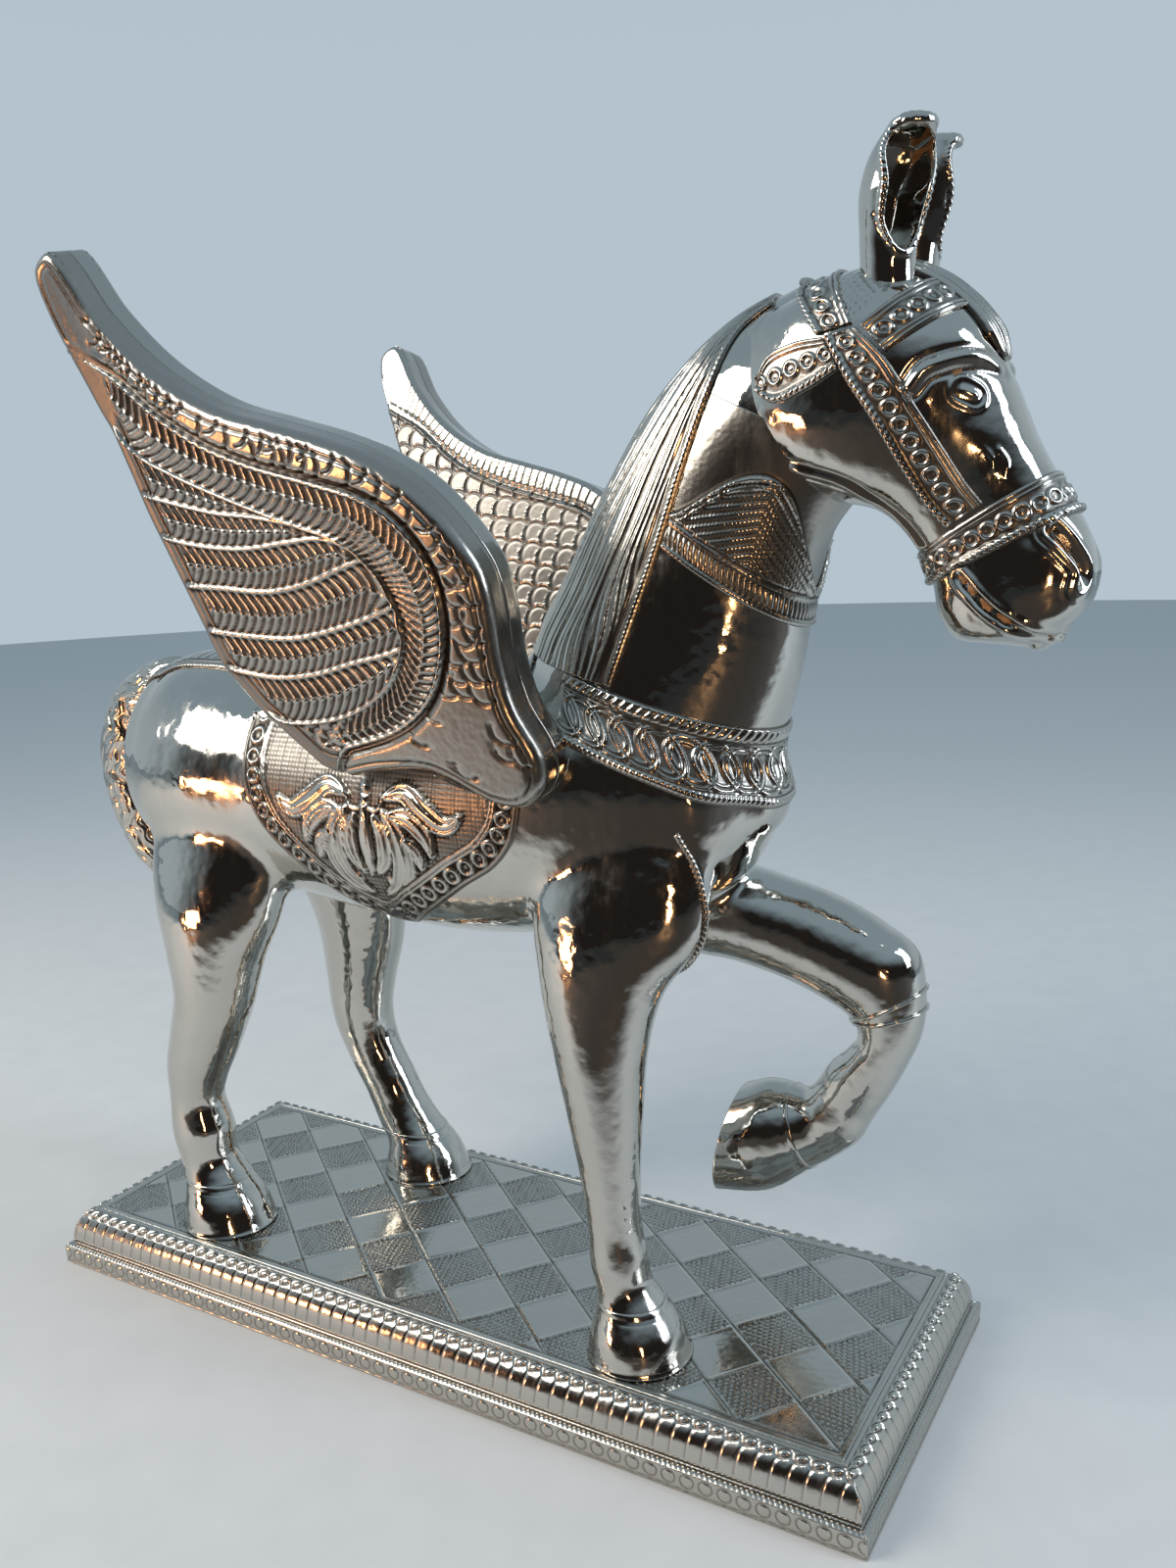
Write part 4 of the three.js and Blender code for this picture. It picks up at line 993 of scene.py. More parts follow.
# Across the wing at stations from tip to root, [forward, up] of: leading edge, crease, trailing edge
wing_stations = [
    ((-174.6, 176), (-174, 175), (-173.6, 173)), ((-179, 188), (-171, 176), (-172.4, 170)),
    ((-181, 204), (-167, 174), (-170.6, 166)), ((-172, 210), (-161, 171), (-169, 162)),
    ((-155, 187), (-150, 165), (-165, 152)), ((-132, 164), (-130, 149.3), (-161, 143)),
    ((-108, 150), (-112.6, 138.7), (-157, 128)), ((-82, 142), (-91, 130.2), (-153, 112)),
    ((-58, 135), (-64.4, 122.9), (-148, 97)), ((-38, 127), (-41, 115.4), (-143, 82)),
    ((-22, 117), (-29.6, 107.3), (-138, 67)), ((-9, 103), (-21, 97), (-133, 52)),
    ((0, 88), (-16.5, 86), (-125, 41.5)), ((2, 72), (-15.8, 72), (-116, 31)),
    ((2, 56), (-19, 57), (-110, 26)), ((5, 38), (-26, 43), (-104, 21)), ((13, 20), (-36, 33), (-98, 16)),
    ((12, 9), (-44, 28), (-92, 11)), ((3, 1), (-52, 24.5), (-90, 10)), ((-9, 1), (-60, 22), (-88, 9.2)),
    ((-36, 12), (-67, 20), (-86, 8.6)), ((-58, 11), (-74, 17.5), (-84, 8)),
    ((-76, 7), (-79.5, 9.5), (-82, 8)),
]
# The second rib, inside which the shorter feathers lie, and the ribs between those, from the top down
inner_rib = [
    (-164, 152), (-158, 145), (-146, 134), (-132, 127), (-110, 118), (-91, 111), (-73, 105),
    (-58, 100), (-47, 92), (-39.5, 80), (-37, 66), (-43, 51.4), (-56, 40), (-70, 33.5), (-86, 30),
    (-105, 29.8), (-124, 38),
]
short_ribs = [
    [(-156, 121), (-145, 118.5), (-128, 114.5), (-113, 111.5), (-98, 110), (-60, 103)],
    [(-154, 105), (-149.5, 104.2), (-129, 100), (-104.5, 98), (-81.6, 99.9), (-66, 101), (-48, 96)],
    [(-146, 84.5), (-121, 83), (-94, 81.6), (-75, 85), (-61, 89.5), (-46, 94)],
    [(-138, 66.5), (-111, 63.9), (-88, 63.5), (-67, 67.4), (-48, 72.6), (-36, 77)],
    [(-130, 51), (-100, 47.5), (-81, 49.6), (-61, 54.6), (-50, 57), (-36, 61)],
]
print("wing of", len(wing_stations), "stations,", len(short_ribs), "short ribs")

# %% The wing's grid
WALL_STEPS = 5          # rows of the grid on the board's edge
SEAM = 0.03             # half the gap between the outer and the inner sheet, mm

stations = np.array(wing_stations, float).reshape(len(wing_stations), 6)
knots = run_lengths(stations[:, 2:4]) + 0.6 * run_lengths(stations[:, 0:2])
dense = smooth_through(knots, stations, np.linspace(0, knots[-1], 1600))
creep = run_lengths(dense[:, 2:4]) + 0.35 * run_lengths(dense[:, 0:2])
at = np.linspace(0, creep[-1], 440)
resampled = np.stack([np.interp(at, creep, column) for column in dense.T], 1)
lead, crease, trail = resampled[:, 0:2], resampled[:, 2:4], resampled[:, 4:6]
outline = np.concatenate([lead, trail[::-1]])
near_edge = np.linspace(0, 1, 38) ** 1.4
feathered = 1 - np.linspace(1, 0, 150) ** 1.15
band = lead[None] + (crease - lead)[None] * near_edge[:, None, None]
vane = crease[None] + (trail - crease)[None] * feathered[1:, None, None]
plane = np.concatenate([np.repeat(lead[None], WALL_STEPS, 0), band, vane,
                        np.repeat(trail[None], WALL_STEPS, 0)])
flat = plane.reshape(-1, 2)
edge_gap, _, _ = nearest_on(flat, np.concatenate([outline, outline[:1]])[::3])
edge_gap = edge_gap.reshape(plane.shape[:2])
from_edge = np.clip(WING_ROUNDING - edge_gap, 0, WING_ROUNDING)
board_depth = WING_ROUNDING - np.sqrt(WING_ROUNDING**2 - from_edge**2)
wall = np.linspace(WING_THICKNESS / 2 - SEAM, WING_ROUNDING, WALL_STEPS + 1)[:-1]
board_depth[:WALL_STEPS] = wall[:, None]
board_depth[-WALL_STEPS:] = wall[::-1, None]
# the grid's first and last columns go down the board's edge as well
for end in (0, 1, -2, -1):
    board_depth[:, end] = np.maximum(board_depth[:, end], wall[0] if end in (0, -1) else wall[2])
in_vane = np.zeros(plane.shape[:2], bool)
in_vane[WALL_STEPS + len(near_edge):-WALL_STEPS] = True
print("wing grid", plane.shape[:2])

# %% [markdown]
# ### Feathers and scales
# A feather's barbs leave its shaft at a slant on both sides. Along the shaft the phase counts barbs, and
# adding the distance from the shaft bends them back. Fish-scale marks are arcs of a semicircular punch in
# staggered rows.

# %% Barbs and scales
BARB_PITCH = 4.4


def scale_marks(u, w, size):
    """How far inside its scale's edge each point lies, for round scales that overlap in staggered rows."""
    radius = size * 0.56
    pitch = size * 0.5
    base = np.floor(w / pitch)
    gap = np.full(u.shape, radius)
    found = np.zeros(u.shape, bool)
    for back in range(3):
        row = base - back
        centre_w = row * pitch
        shift = (row % 2) * size / 2
        centre_u = np.round((u - shift) / size) * size + shift
        reach = radius - np.hypot(u - centre_u, w - centre_w)
        hit = (reach > 0) & ~found
        gap[hit] = reach[hit]
        found |= hit
    return gap


def barbs(along, across, half_width):
    """Herringbone barbs: `across` runs from -1 to 1 over the feather."""
    slant = np.abs(across) ** 1.5 * half_width * 0.75
    shaft = hump(across * half_width, 0.7)
    edge = np.clip((1 - np.abs(across)) * half_width / 1.6, 0, 1)
    return 0.95 * pleats((along + slant) / BARB_PITCH, 0.8) * edge + 0.5 * shaft


print("barbs every", BARB_PITCH, "mm")

# %% Feathers between the ribs
in_trail = in_vane.ravel()
from_rim = edge_gap.ravel()
to_crease, on_crease, _ = nearest_on(flat, crease[::3])
to_inner, _, inner_side = nearest_on(flat, curve_through(inner_rib, 90))
inside = (inner_side < 0) & in_trail
half = (to_crease + to_inner) / 2
across = (to_crease - to_inner) / np.maximum(2 * half, 0.1)
feathers = np.where(in_trail & ~inside, barbs(on_crease, across, half) + 0.7 * (1 - across**2), 0)

# the heights of the ribs above and below each point bound the shorter feathers
levels = [np.interp(flat[:, 0], *curve_through(inner_rib[:11], 60).T)]
levels += [np.interp(flat[:, 0], *curve_through(rib, 40).T) for rib in short_ribs]
levels += [np.interp(flat[:, 0], *curve_through(inner_rib[10:], 40)[::-1].T)]
levels = np.array(levels)
levels[1:-1] = np.clip(levels[1:-1], levels[-1], levels[0])
for upper, lower in zip(levels[:-1], levels[1:]):
    middle, half = (upper + lower) / 2, np.maximum((upper - lower) / 2, 0.1)
    across = (flat[:, 1] - middle) / half
    chosen = inside & (np.abs(across) <= 1)
    bump = barbs(flat[:, 0], across, half) + 0.7 * (1 - across**2)
    feathers[chosen] = (bump * np.clip(half / 4, 0, 1))[chosen]
print("feathers up to", feathers.max().round(2), "mm")

# %% Ribs, crease and tips
VANE_DEPTH = 2.6        # how far the feathers' ground lies beneath the leading band, mm
to_short = np.min([nearest_on(flat, curve_through(rib, 40))[0] for rib in short_ribs], 0)
to_rib = np.where(inside, np.minimum(to_short, to_inner), to_inner)
ribs = np.where(in_trail, 2.1 * hump(to_rib, 0.9), 0)
crease_cut = -1.6 * hump(to_crease - 0.2, 1.3) + np.where(in_trail, 1.7 * hump(to_crease - 2.4, 0.9), 0)
tips = np.clip((from_rim - 2) / 3, 0, 1)
tip_lines = np.where(in_trail, 0.8 * hump(from_rim - 7.5, 0.5) + 0.8 * hump(from_rim - 9.3, 0.5), 0)
feathers *= np.clip((from_rim - 9) / 2, 0, 1)
vane_relief = np.where(in_trail, (feathers + ribs) * tips - VANE_DEPTH, 0)
print("crease", -crease_cut.min().round(2), "mm deep")

# %% Arcs punched into the leading band
punch = np.random.default_rng(7)
arcs = np.zeros(len(flat))
for k in range(44, plane.shape[1] - 70, 9):
    lanes = int(np.linalg.norm(crease[k] - lead[k]) // 7)
    for lane in range(lanes):
        if lanes > 3 and punch.random() < 0.74:
            continue
        middle = lead[k] + (crease[k] - lead[k]) * (lane + 0.5 + 0.5 * (k // 9 % 2)) / (lanes + 0.5)
        heading = np.arctan2(*(crease[k + 6] - crease[k])[::-1]) + punch.normal(0, 0.3)
        near = np.flatnonzero(np.abs(flat - middle).max(1) < 8)
        local = flat[near] - middle - punch.normal(0, 0.7, 2)
        open_turn = np.arctan2(local[:, 1], local[:, 0]) - heading
        open_turn = np.abs((open_turn + np.pi) % (2 * np.pi) - np.pi)
        arc = hump(np.hypot(*local.T) - 5.6, 0.6) * ease((1.5 - open_turn) / 0.3)
        arcs[near] = np.maximum(arcs[near], arc)
band_relief = np.where(in_trail, 0, -0.7 * arcs * np.clip((from_rim - 1.5) / 2, 0, 1))
border = -0.6 * np.where(in_trail, 0, hump(from_rim - 4.5, 0.6))
print("arcs on", (100 * (arcs > 0.5).mean()).round(1), "% of the grid")

# %% Relief of the outer face
SWELL = 2.6             # how far the outer face bulges, mm
LOWEST = -0.3           # no relief goes deeper than this, mm
fade = np.where(in_trail, np.clip(to_crease / 3, 0, 1), 1)
outer_relief = np.minimum(vane_relief * fade + crease_cut + band_relief + border + tip_lines * 0.6, 0)
from_tip = np.linspace(0, creep[-1], plane.shape[1])[None, :]
swell = np.clip(edge_gap / 6, 0, 1) ** 0.7 * np.clip((from_tip - 25) / 60, 0, 1)
outer_relief = outer_relief.reshape(plane.shape[:2]) * np.clip(edge_gap / 2, 0, 1)
valleys = np.clip(-outer_relief / 2.2, 0, 1)
outer_relief = np.maximum(outer_relief + SWELL * swell, LOWEST)
# Painted shade: the sunk feather ground is darkened, partly as dark polish and partly as the wing's dark
# reflection painted in, and the whole leading band is given a flat painted dark reflection.
outer_polish_and_shade = 0.55 * valleys + np.where(in_trail, 0, 0.28).reshape(plane.shape[:2])
print("outer face", outer_relief.min().round(2), "to", outer_relief.max().round(2))

# %% Relief of the inner face
SCALE = 15              # width of a scale, mm
scale_rows = flat @ np.array([(0.8, -0.6), (0.6, 0.8)]) + 400
scales = scale_marks(*scale_rows.T, SCALE)
inner_relief = np.where(in_trail, 0.5 * hump(scales, 0.6) - 0.4 * hump(scales - 1.6, 0.7), 0)
inner_relief += crease_cut * 0.5
bars = -0.35 * hump((on_crease % 4.5) - 2.2, 0.5)
inner_relief = (inner_relief + np.where(in_trail, 0, bars)).reshape(plane.shape[:2])
inner_relief = np.maximum(inner_relief * np.clip(edge_gap / 2, 0, 1) + 0.8 * swell, LOWEST)
# Painted shade: the inside of each scale is darkened while its raised rim stays bright, and the leading band
# a little, for the inner face's dark reflections.
inner_painted_shade = np.where(in_trail, 0.5 - 0.5 * hump(scales, 0.7), 0.1).reshape(plane.shape[:2])
print("inner face", inner_relief.min().round(2), "to", inner_relief.max().round(2))

# %% Wing sheets
CORE_GAP = 0.2          # between a wing's sheet and its board, mm


def wing_face(side, places, depth, from_inside):
    """From the wing's own plane to the horse: `depth` goes inwards from the outer or the inner face."""
    if from_inside:
        depth = WING_THICKNESS - depth
    scale, lift = (1, 0) if side < 0 else (LEFT_SCALE, LEFT_RAISE)
    forward, up = places[..., 0] * scale, places[..., 1] * scale
    x = WING_ROOT[0] + forward
    y = side * (WING_OUT + up * np.sin(WING_LEAN) - depth * np.cos(WING_LEAN))
    z = WING_ROOT[1] + lift + plinth_top + up * np.cos(WING_LEAN) + depth * np.sin(WING_LEAN)
    return np.stack([x, y, z], -1)


def wing_sheet(name, side, relief, polish_and_shade, from_inside):
    outer = wing_face(side, plane, board_depth - relief, from_inside)
    inner_depth = np.minimum(board_depth + SHEET, WING_THICKNESS / 2 - SEAM)
    inner = wing_face(side, inset_plane, inner_depth, from_inside)
    points, quads, edges = shell(outer, inner, stride=4)
    tarnish_and_shade = np.zeros(len(points))
    # On the wings this darkening holds painted shade besides dark polish: their dark reflections are painted
    # into the metal's colour.
    tarnish_and_shade[:relief.size] = np.minimum(recess_of(relief, depth=0.5, passes=14) + polish_and_shade, 1).ravel()
    add_piece("clad_" + name, mesh_from(name, points, quads, edges, tarnish_and_shade), "feather_sheet", name)


def wing_board(name, side):
    """The carved board between the two sheets, a hair smaller all round."""
    depth = np.minimum(board_depth + SHEET + CORE_GAP, WING_THICKNESS / 2 - CORE_GAP)
    thin = (slice(None, None, 4), slice(None, None, 5))
    face = wing_face(side, core_plane, depth, False)[thin]
    back = wing_face(side, core_plane, depth, True)[thin]
    points, quads, edges = shell(face, back, stride=1)
    add_piece("carved_" + name, mesh_from(name, points, quads, edges), "carved_wood", name)


middle_line = (lead + trail) / 2
to_middle = middle_line[None] - plane
to_middle /= np.maximum(np.linalg.norm(to_middle, axis=2, keepdims=True), 1e-6)
closeness = np.clip(1 - edge_gap / 8, 0, 1)[..., None]
inset_plane = plane + to_middle * closeness * SHEET
core_plane = plane + to_middle * closeness * (SHEET + CORE_GAP)
for side, name in ((-1, "right"), (1, "left")):
    wing_sheet(name + "_wing_outer_sheet", side, outer_relief, outer_polish_and_shade, False)
    wing_sheet(name + "_wing_inner_sheet", side, inner_relief, inner_painted_shade, True)
    wing_board(name + "_wing_board", side)
print("wing sheets", 4)

# %% [markdown]
# ## Bands and cloths laid over the cladding
# Stamped strips of sheet are nailed over the plain skin. Each one is a grid of points found by rays: they
# start out in the air, aim at a line inside the horse and stop at the skin, so the strip follows the body
# exactly. Shrinkwrap would do the same, but with rays the rows stay square to the strip, and its pattern
# can be drawn in millimetres.

# %% Grids laid on the horse
FAR = 220               # where the rays start, mm from the line they aim at


def cast(surface, origin, direction):
    hit = surface.ray_cast(Vector(origin + direction * FAR), Vector(-direction), FAR + 60)[0]
    return np.full(3, np.nan) if hit is None else np.array(hit)


def fan(surface, origins, aheads, count, turn=90, rays=120):
    """Rows of points where rays hit that fan out from origins in the middle plane, from right to left.

    Origins and the directions in the middle of each fan are [x, height] in side view."""
    rows = []
    for (x, z), (ahead_x, ahead_z) in zip(origins, aheads):
        length = np.hypot(ahead_x, ahead_z)
        angles = np.radians(np.linspace(-turn, turn, rays))
        directions = np.stack([np.cos(angles) * ahead_x / length, np.sin(angles),
                               np.cos(angles) * ahead_z / length], 1)
        origin = np.array([x, 0, z + plinth_top])
        hits = np.array([cast(surface, origin, direction) for direction in directions])
        rows.append(even_steps(hits[~np.isnan(hits[:, 0])], count))
    return np.array(rows)


def pressed(surface, side, outline_rows):
    """A grid pressed onto one side of the horse: rows of [x, height] in side view."""
    direction = np.array([0, side, 0.0])
    return np.array([[cast(surface, np.array([x, 0, z + plinth_top]), direction) for x, z in row]
                     for row in outline_rows])


def between(first, last, count, rows):
    """Rows of side-view points from one bent line to another."""
    first, last = curve_through(first, count), curve_through(last, count)
    shares = np.linspace(0, 1, rows)[:, None, None]
    return first + (last - first) * shares


print("rays reach", FAR, "mm")

# %% Stamped bands
TRIM = 1.2              # thickness of stamped bands, mm
GAP = 0.3               # how far above the skin they start, mm


def measured(grid):
    """Millimetres along the rows from their middle, across them from the first row, and the whole width."""
    along = np.array([run_lengths(row) for row in grid])
    across = np.array([run_lengths(column) for column in grid.transpose(1, 0, 2)]).T
    return along - along[:, -1:] / 2, across, across[-1:]


def band_piece(name, grid, relief, *replaced, slot="stamped_sheet", depth=0.3, ground=0.3, **settings):
    """A band laid over the cladding. Dark polish stays on its sunk ground."""
    polish_and_shade = ground * np.clip(-relief / 0.7, 0, 1)
    chased_piece(name, grid, relief, slot, *replaced, thickness=TRIM, lift=GAP, depth=depth, polish_and_shade=polish_and_shade,
                 **settings)


print("bands", TRIM, "mm thick")

# %% [markdown]
# ### Stamped patterns
# A stamped border is made of a few signs: a ring, a bead, a smooth rail and a milled wire, whose slanted
# notches look like twisted rope. Each is a small function of the place along and across the strip.

# %% Patterns
def from_nearest(along, pitch):
    """How far each place is from the nearest mark of an even row."""
    return (along / pitch - np.round(along / pitch)) * pitch


def ring_row(along, off, pitch, radius, line=0.55, height=0.8):
    """A row of rings: `off` is the distance from the row's middle line."""
    away = np.hypot(from_nearest(along, pitch), off)
    return height * hump(away - radius, line) + 0.35 * height * hump(away, radius * 0.3)


def rope(along, off, pitch, width, height=0.8):
    """A milled wire."""
    round_top = np.clip(1 - (off / width) ** 2, 0, 1) ** 0.5
    return height * round_top * (0.45 + 0.55 * pleats(along / pitch + off / (2 * width), 0.6))


def rail(off, width=0.5, height=0.6):
    return height * hump(off, width)


def two_rails(off):
    return rail(off - 0.9, 0.5, 0.7) + rail(off - 2.4, 0.45, 0.6)


def linked_circles(along, off, pitch, radius):
    """A row of double circles that overlap by half, so that pointed ovals stand between them."""
    total = np.zeros(along.shape)
    covers = np.zeros(along.shape)
    for shift in (-1, 0, 1):
        local = along - pitch * (np.round(along / pitch) + shift)
        away = np.hypot(local, off)
        circle = 1.1 * hump(away - radius, 0.65) + 0.7 * hump(away - radius + 1.9, 0.5)
        total = np.maximum(total, circle)
        covers += ease((radius - away) / 3)
    return total + 0.5 * np.clip(covers - 1, 0, 1)


print("patterns ready")

# %% [markdown]
# ## Mane
# The mane is one sheet folded over the crest of the neck. Long straight hairs run down it, and its two
# lower edges have a milled border.

# %% Mane
mane_edge = [(95, 263.8), (103, 287), (112, 312), (120, 337), (129, 364), (138, 385), (147, 392)]
mane_edge = curve_through(mane_edge, 190)
ahead = smooth_through(np.linspace(0, 1, 4), [(-1, 0.2), (-1, 0.5), (-0.85, 0.8), (-0.6, 1)],
                       np.linspace(0, 1, len(mane_edge)))
mane = blurred(fan(whole_tree, mane_edge, ahead, 260), 4)
along, across, _ = measured(mane)
from_hem = np.abs(along[:, -1:]) - np.abs(along)
share = along / np.abs(along[:, -1:])
wander = 0.35 * np.sin(across / 26 + 5 * share) + 0.12 * np.sin(across / 11 + 14 * share)
strands = pleats(share * 6.5 + wander, 0.6)
hairs = pleats(share * 24 + 2.6 * wander, 0.8)
hair = (0.75 * strands + 0.5 * hairs) * np.clip((from_hem - 4) / 1.5, 0, 1)
relief = hair - 0.8 + rope(across, from_hem - 1.7, 1.9, 1.4, 1.0) + rail(from_hem - 3.8, 0.4, 0.4)
band_piece("mane_sheet", mane, relief, slot="hair_sheet", depth=0.4, towards=(130, 0, 330))
print("mane", mane.shape[:2])

# %% [markdown]
# ## Throat collar
# Below the jaw the neck wears a wide collar: two large leaves with fine ribs, and a ribbed band between
# milled wires along its lower edge.

# %% Throat collar
rear = curve_through([(112.6, 312), (118, 329), (124, 347), (129.6, 363.7)], 90)
ahead = smooth_through(np.linspace(0, 1, 3), [(0.86, -0.62), (0.9, -0.5), (0.9, -0.42)],
                       np.linspace(0, 1, len(rear)))
gorget = blurred(fan(skin_tree, rear, ahead, 300, rays=160), 3)
along, across, _ = measured(gorget)
ribbed = np.clip(1 - np.abs(across - 5.5) / 3.2, 0, 1) ** 0.3
border = ribbed * 0.7 * pleats(along / 2.2)
border += rope(along, across - 1.2, 1.8, 1.2, 1.0) + rope(along, across - 9.9, 1.8, 1.0)
end = np.abs(along[:, -1:])
leaf_line = 12 + 30 * np.sin(np.pi * np.clip(np.abs(along) / end, 0, 1)) ** 1.3
leaf_gap = leaf_line - across
vein = pleats((across + 0.7 * np.abs(np.abs(along) - 0.5 * end)) / 3.0, 0.7)
leaf = np.where(leaf_gap > 0, 0.7 * vein + 0.25 * pleats(along / 1.3), 0)
leaf = (leaf + 1.1 * hump(leaf_gap, 0.9) + 0.7 * hump(leaf_gap - 3, 0.6)) * (across > 11.5)
relief = border + leaf - 0.9
band_piece("throat_collar", gorget, relief, towards=(140, 0, 320))
print("throat collar", gorget.shape[:2])

# %% [markdown]
# ## Breast collar
# Round the foot of the neck lies a broad band: a rope along the top, a row of circles that overlap by half,
# and a milled wire below.

# %% Breast collar
CIRCLE_PITCH = 10.5
PATTERN_WIDTH = 30      # the pattern is drawn for this width and widened to the collar's, mm
origins = np.linspace((74, 269), (74, 245.2), 56)
goals = np.linspace((165, 240), (165, 208.2), 56)
collar = blurred(fan(skin_tree, origins, goals - origins, 460, rays=200), 3)
along, across, width = measured(collar)
scaled = across / width * PATTERN_WIDTH
relief = rope(along, scaled - 3.2, 3.4, 2.6, 1.3) + rail(scaled - 0.6) + rail(scaled - 6.6, 0.5, 0.8)
relief += linked_circles(along, scaled - 16, CIRCLE_PITCH, 8.8) * ((scaled > 7.2) & (scaled < 24.9))
relief += rope(along, scaled - 27.6, 2.2, 1.7, 1.1) + rail(scaled - 25.4, 0.5, 0.7) - 0.9
band_piece("breast_collar", collar, relief, depth=0.45, towards=(100, 0, 240))
print("breast collar", collar.shape[:2], "circles", int(along.max() * 2 / CIRCLE_PITCH))

# %% [markdown]
# ## Saddle cloth and crupper
# The saddle cloth hangs down each side to a point with a border of rings, and carries a hanging tulip
# between leaves on a stippled ground. Its seat rises in front to the mane. Behind it a barred strap runs
# over the rump to the tail.

# %% Saddle cloth's shape and border
SEAT_FROM = 244         # above the plinth, the height where the barred seat begins
hem = curve_through([(-83.5, 246), (-83.5, 236), (-81, 217), (-75, 203.5), (-55, 183), (-30, 164), (-13, 159),
                     (6, 169), (31, 185), (50, 197.5), (58, 208), (61.5, 222), (62, 238)], 230)
share = np.linspace(0, 1, len(hem))
tilt = np.clip((share - 0.72) / 0.28, 0, 1) ** 1.5
ahead = np.stack([-0.32 * tilt, np.ones(len(hem))], 1)
cloth = blurred(fan(skin_tree, hem, ahead, 380, rays=170), 3)
along, across, _ = measured(cloth)
side_view = cloth[..., [0, 2]].reshape(-1, 2) - (0, plinth_top)
from_hem, on_hem, _ = nearest_on(side_view, hem[::3])
from_hem, on_hem = from_hem.reshape(along.shape), on_hem.reshape(along.shape)
x, z = (side_view[:, k].reshape(along.shape) for k in (0, 1))
low = z < SEAT_FROM
border = (ring_row(on_hem, from_hem - 6.2, 8.6, 2.9, 0.7, 1.0) + rail(from_hem - 1.6, 0.5, 0.5)
          + rail(from_hem - 10.6, 0.5, 0.8) + rope(on_hem, from_hem - 12.2, 1.9, 0.9, 0.7)) * low
print("cloth", cloth.shape[:2], "hem", on_hem.max().round(), "mm")

# %% Tulip on the saddle cloth
MIDDLE = -13            # x of the cloth's point and of its ornament, mm


def leaf(line, half_width):
    """A raised leaf along a bent line, with a rim and a middle rib."""
    line = curve_through(line, 30)
    away, run, _ = nearest_on(side_view, line)
    half = half_width * np.sin(np.pi * np.clip(run / run_lengths(line)[-1], 0, 1)) ** 0.7
    dome = np.sqrt(np.clip(1 - (away / np.maximum(half, 0.2)) ** 2, 0, 1))
    height = 0.7 * dome + 0.5 * hump(away, 0.6) * dome + 0.9 * hump(away - half, 0.6) * (half > 0.7)
    return height.reshape(along.shape)


# the motif's half in front of its middle: lines of leaves, and half their widths
half_motif = [
    ([(9, 214), (16.5, 204), (17.5, 191), (11, 181), (3, 177)], 4.8),
    ([(4, 212), (9, 203), (8, 193), (2.5, 186)], 3.2),
    ([(9, 218), (20, 221), (31, 214), (41, 210), (49, 215)], 4.2),
    ([(12, 212), (23, 211), (31, 204), (33, 196)], 3.6),
    ([(19, 203), (25, 198), (27, 190)], 2.6),
]
tulip = np.zeros(along.shape)
for hand in (1, -1):
    for line, half_width in half_motif:
        tulip = np.maximum(tulip, leaf([(MIDDLE + hand * a, b) for a, b in line], half_width))
    bead = np.hypot(x - MIDDLE - hand * 8.5, z - 183.5)
    cup = np.hypot(x - MIDDLE - hand * 5, z - 217)
    tulip = np.maximum(tulip, 1.3 * hump(bead, 1.8) + 1.0 * hump(cup - 4.2, 0.7) * (z < 219))
tulip = np.maximum(tulip, leaf([(MIDDLE, 216), (MIDDLE, 200), (MIDDLE, 184)], 2.4))
tulip = np.maximum(tulip, 1.2 * hump(np.hypot(x - MIDDLE, z - 222), 2.2))
print("tulip", tulip.max().round(2), "mm high")

# %% Saddle cloth
stipple = 0.35 * pleats(x / 1.9, 1) * pleats(z / 1.9, 1)
field = (from_hem > 13.5) & low
relief = border + np.where(field, np.maximum(1.25 * tulip, stipple), 0)
bars = 0.8 * pleats((x + 0.4 * np.abs(cloth[..., 1])) / 7.5, 0.35)
relief = np.where(low, relief, bars + rail(z - SEAT_FROM - 2, 0.7, 0.8)) - 0.8
ground = 0.55 * ease((SEAT_FROM + 2 - z) / 4) + 0.1
band_piece("saddle_cloth", cloth, relief, depth=0.45, ground=ground, towards=(0, 0, 230))
print("relief", relief.min().round(2), "to", relief.max().round(2))

# %% Crupper strap
STRAP_HALF_WIDTH = 19.8
rows = np.linspace(-167, -84.5, 150)
lanes = np.linspace(-STRAP_HALF_WIDTH, STRAP_HALF_WIDTH, 76)
down = np.array([0, 0, 1.0])
strap = np.array([[cast(skin_tree, np.array([x, y, 300]), down) for y in lanes] for x in rows])
strap = blurred(strap, 2)
across, along, _ = measured(strap)
off = np.abs(strap[..., 1])
relief = 1.0 * pleats(along / 5.2, 0.4) * (off < 14) + rail(off - 15.5, 0.6, 0.9)
relief += rope(along, off - 18.2, 2.0, 1.4, 0.9) - 0.8
band_piece("crupper_strap", strap, relief, towards=(-120, 0, 200))
print("crupper", strap.shape[:2])

# %% [markdown]
# ## Bridle
# The bridle is made of straps with a row of rings between double rails: a crown strap over the poll, a brow
# band over the forehead, a cheek strap with a short tab on each side, and a nose band all the way round.

# %% Straps over the head
RING_PITCH = 6.2
RING_RADIUS = 2.25
STRAP_ROWS = 34
IN_HEAD = (190, 0, 350)         # a point inside the head, mm


def strap_relief(grid, wire=False):
    """Rings between two pairs of rails. `wire` puts a milled wire on the first edge."""
    along, across, width = measured(grid)
    relief = ring_row(along, across - width / 2, RING_PITCH, RING_RADIUS)
    relief = relief + two_rails(across) + two_rails(width - across)
    if wire:
        relief = np.where(across < 2.5, rope(along, across - 1.2, 2.2, 1.3, 1.5), relief)
    return relief - 0.6


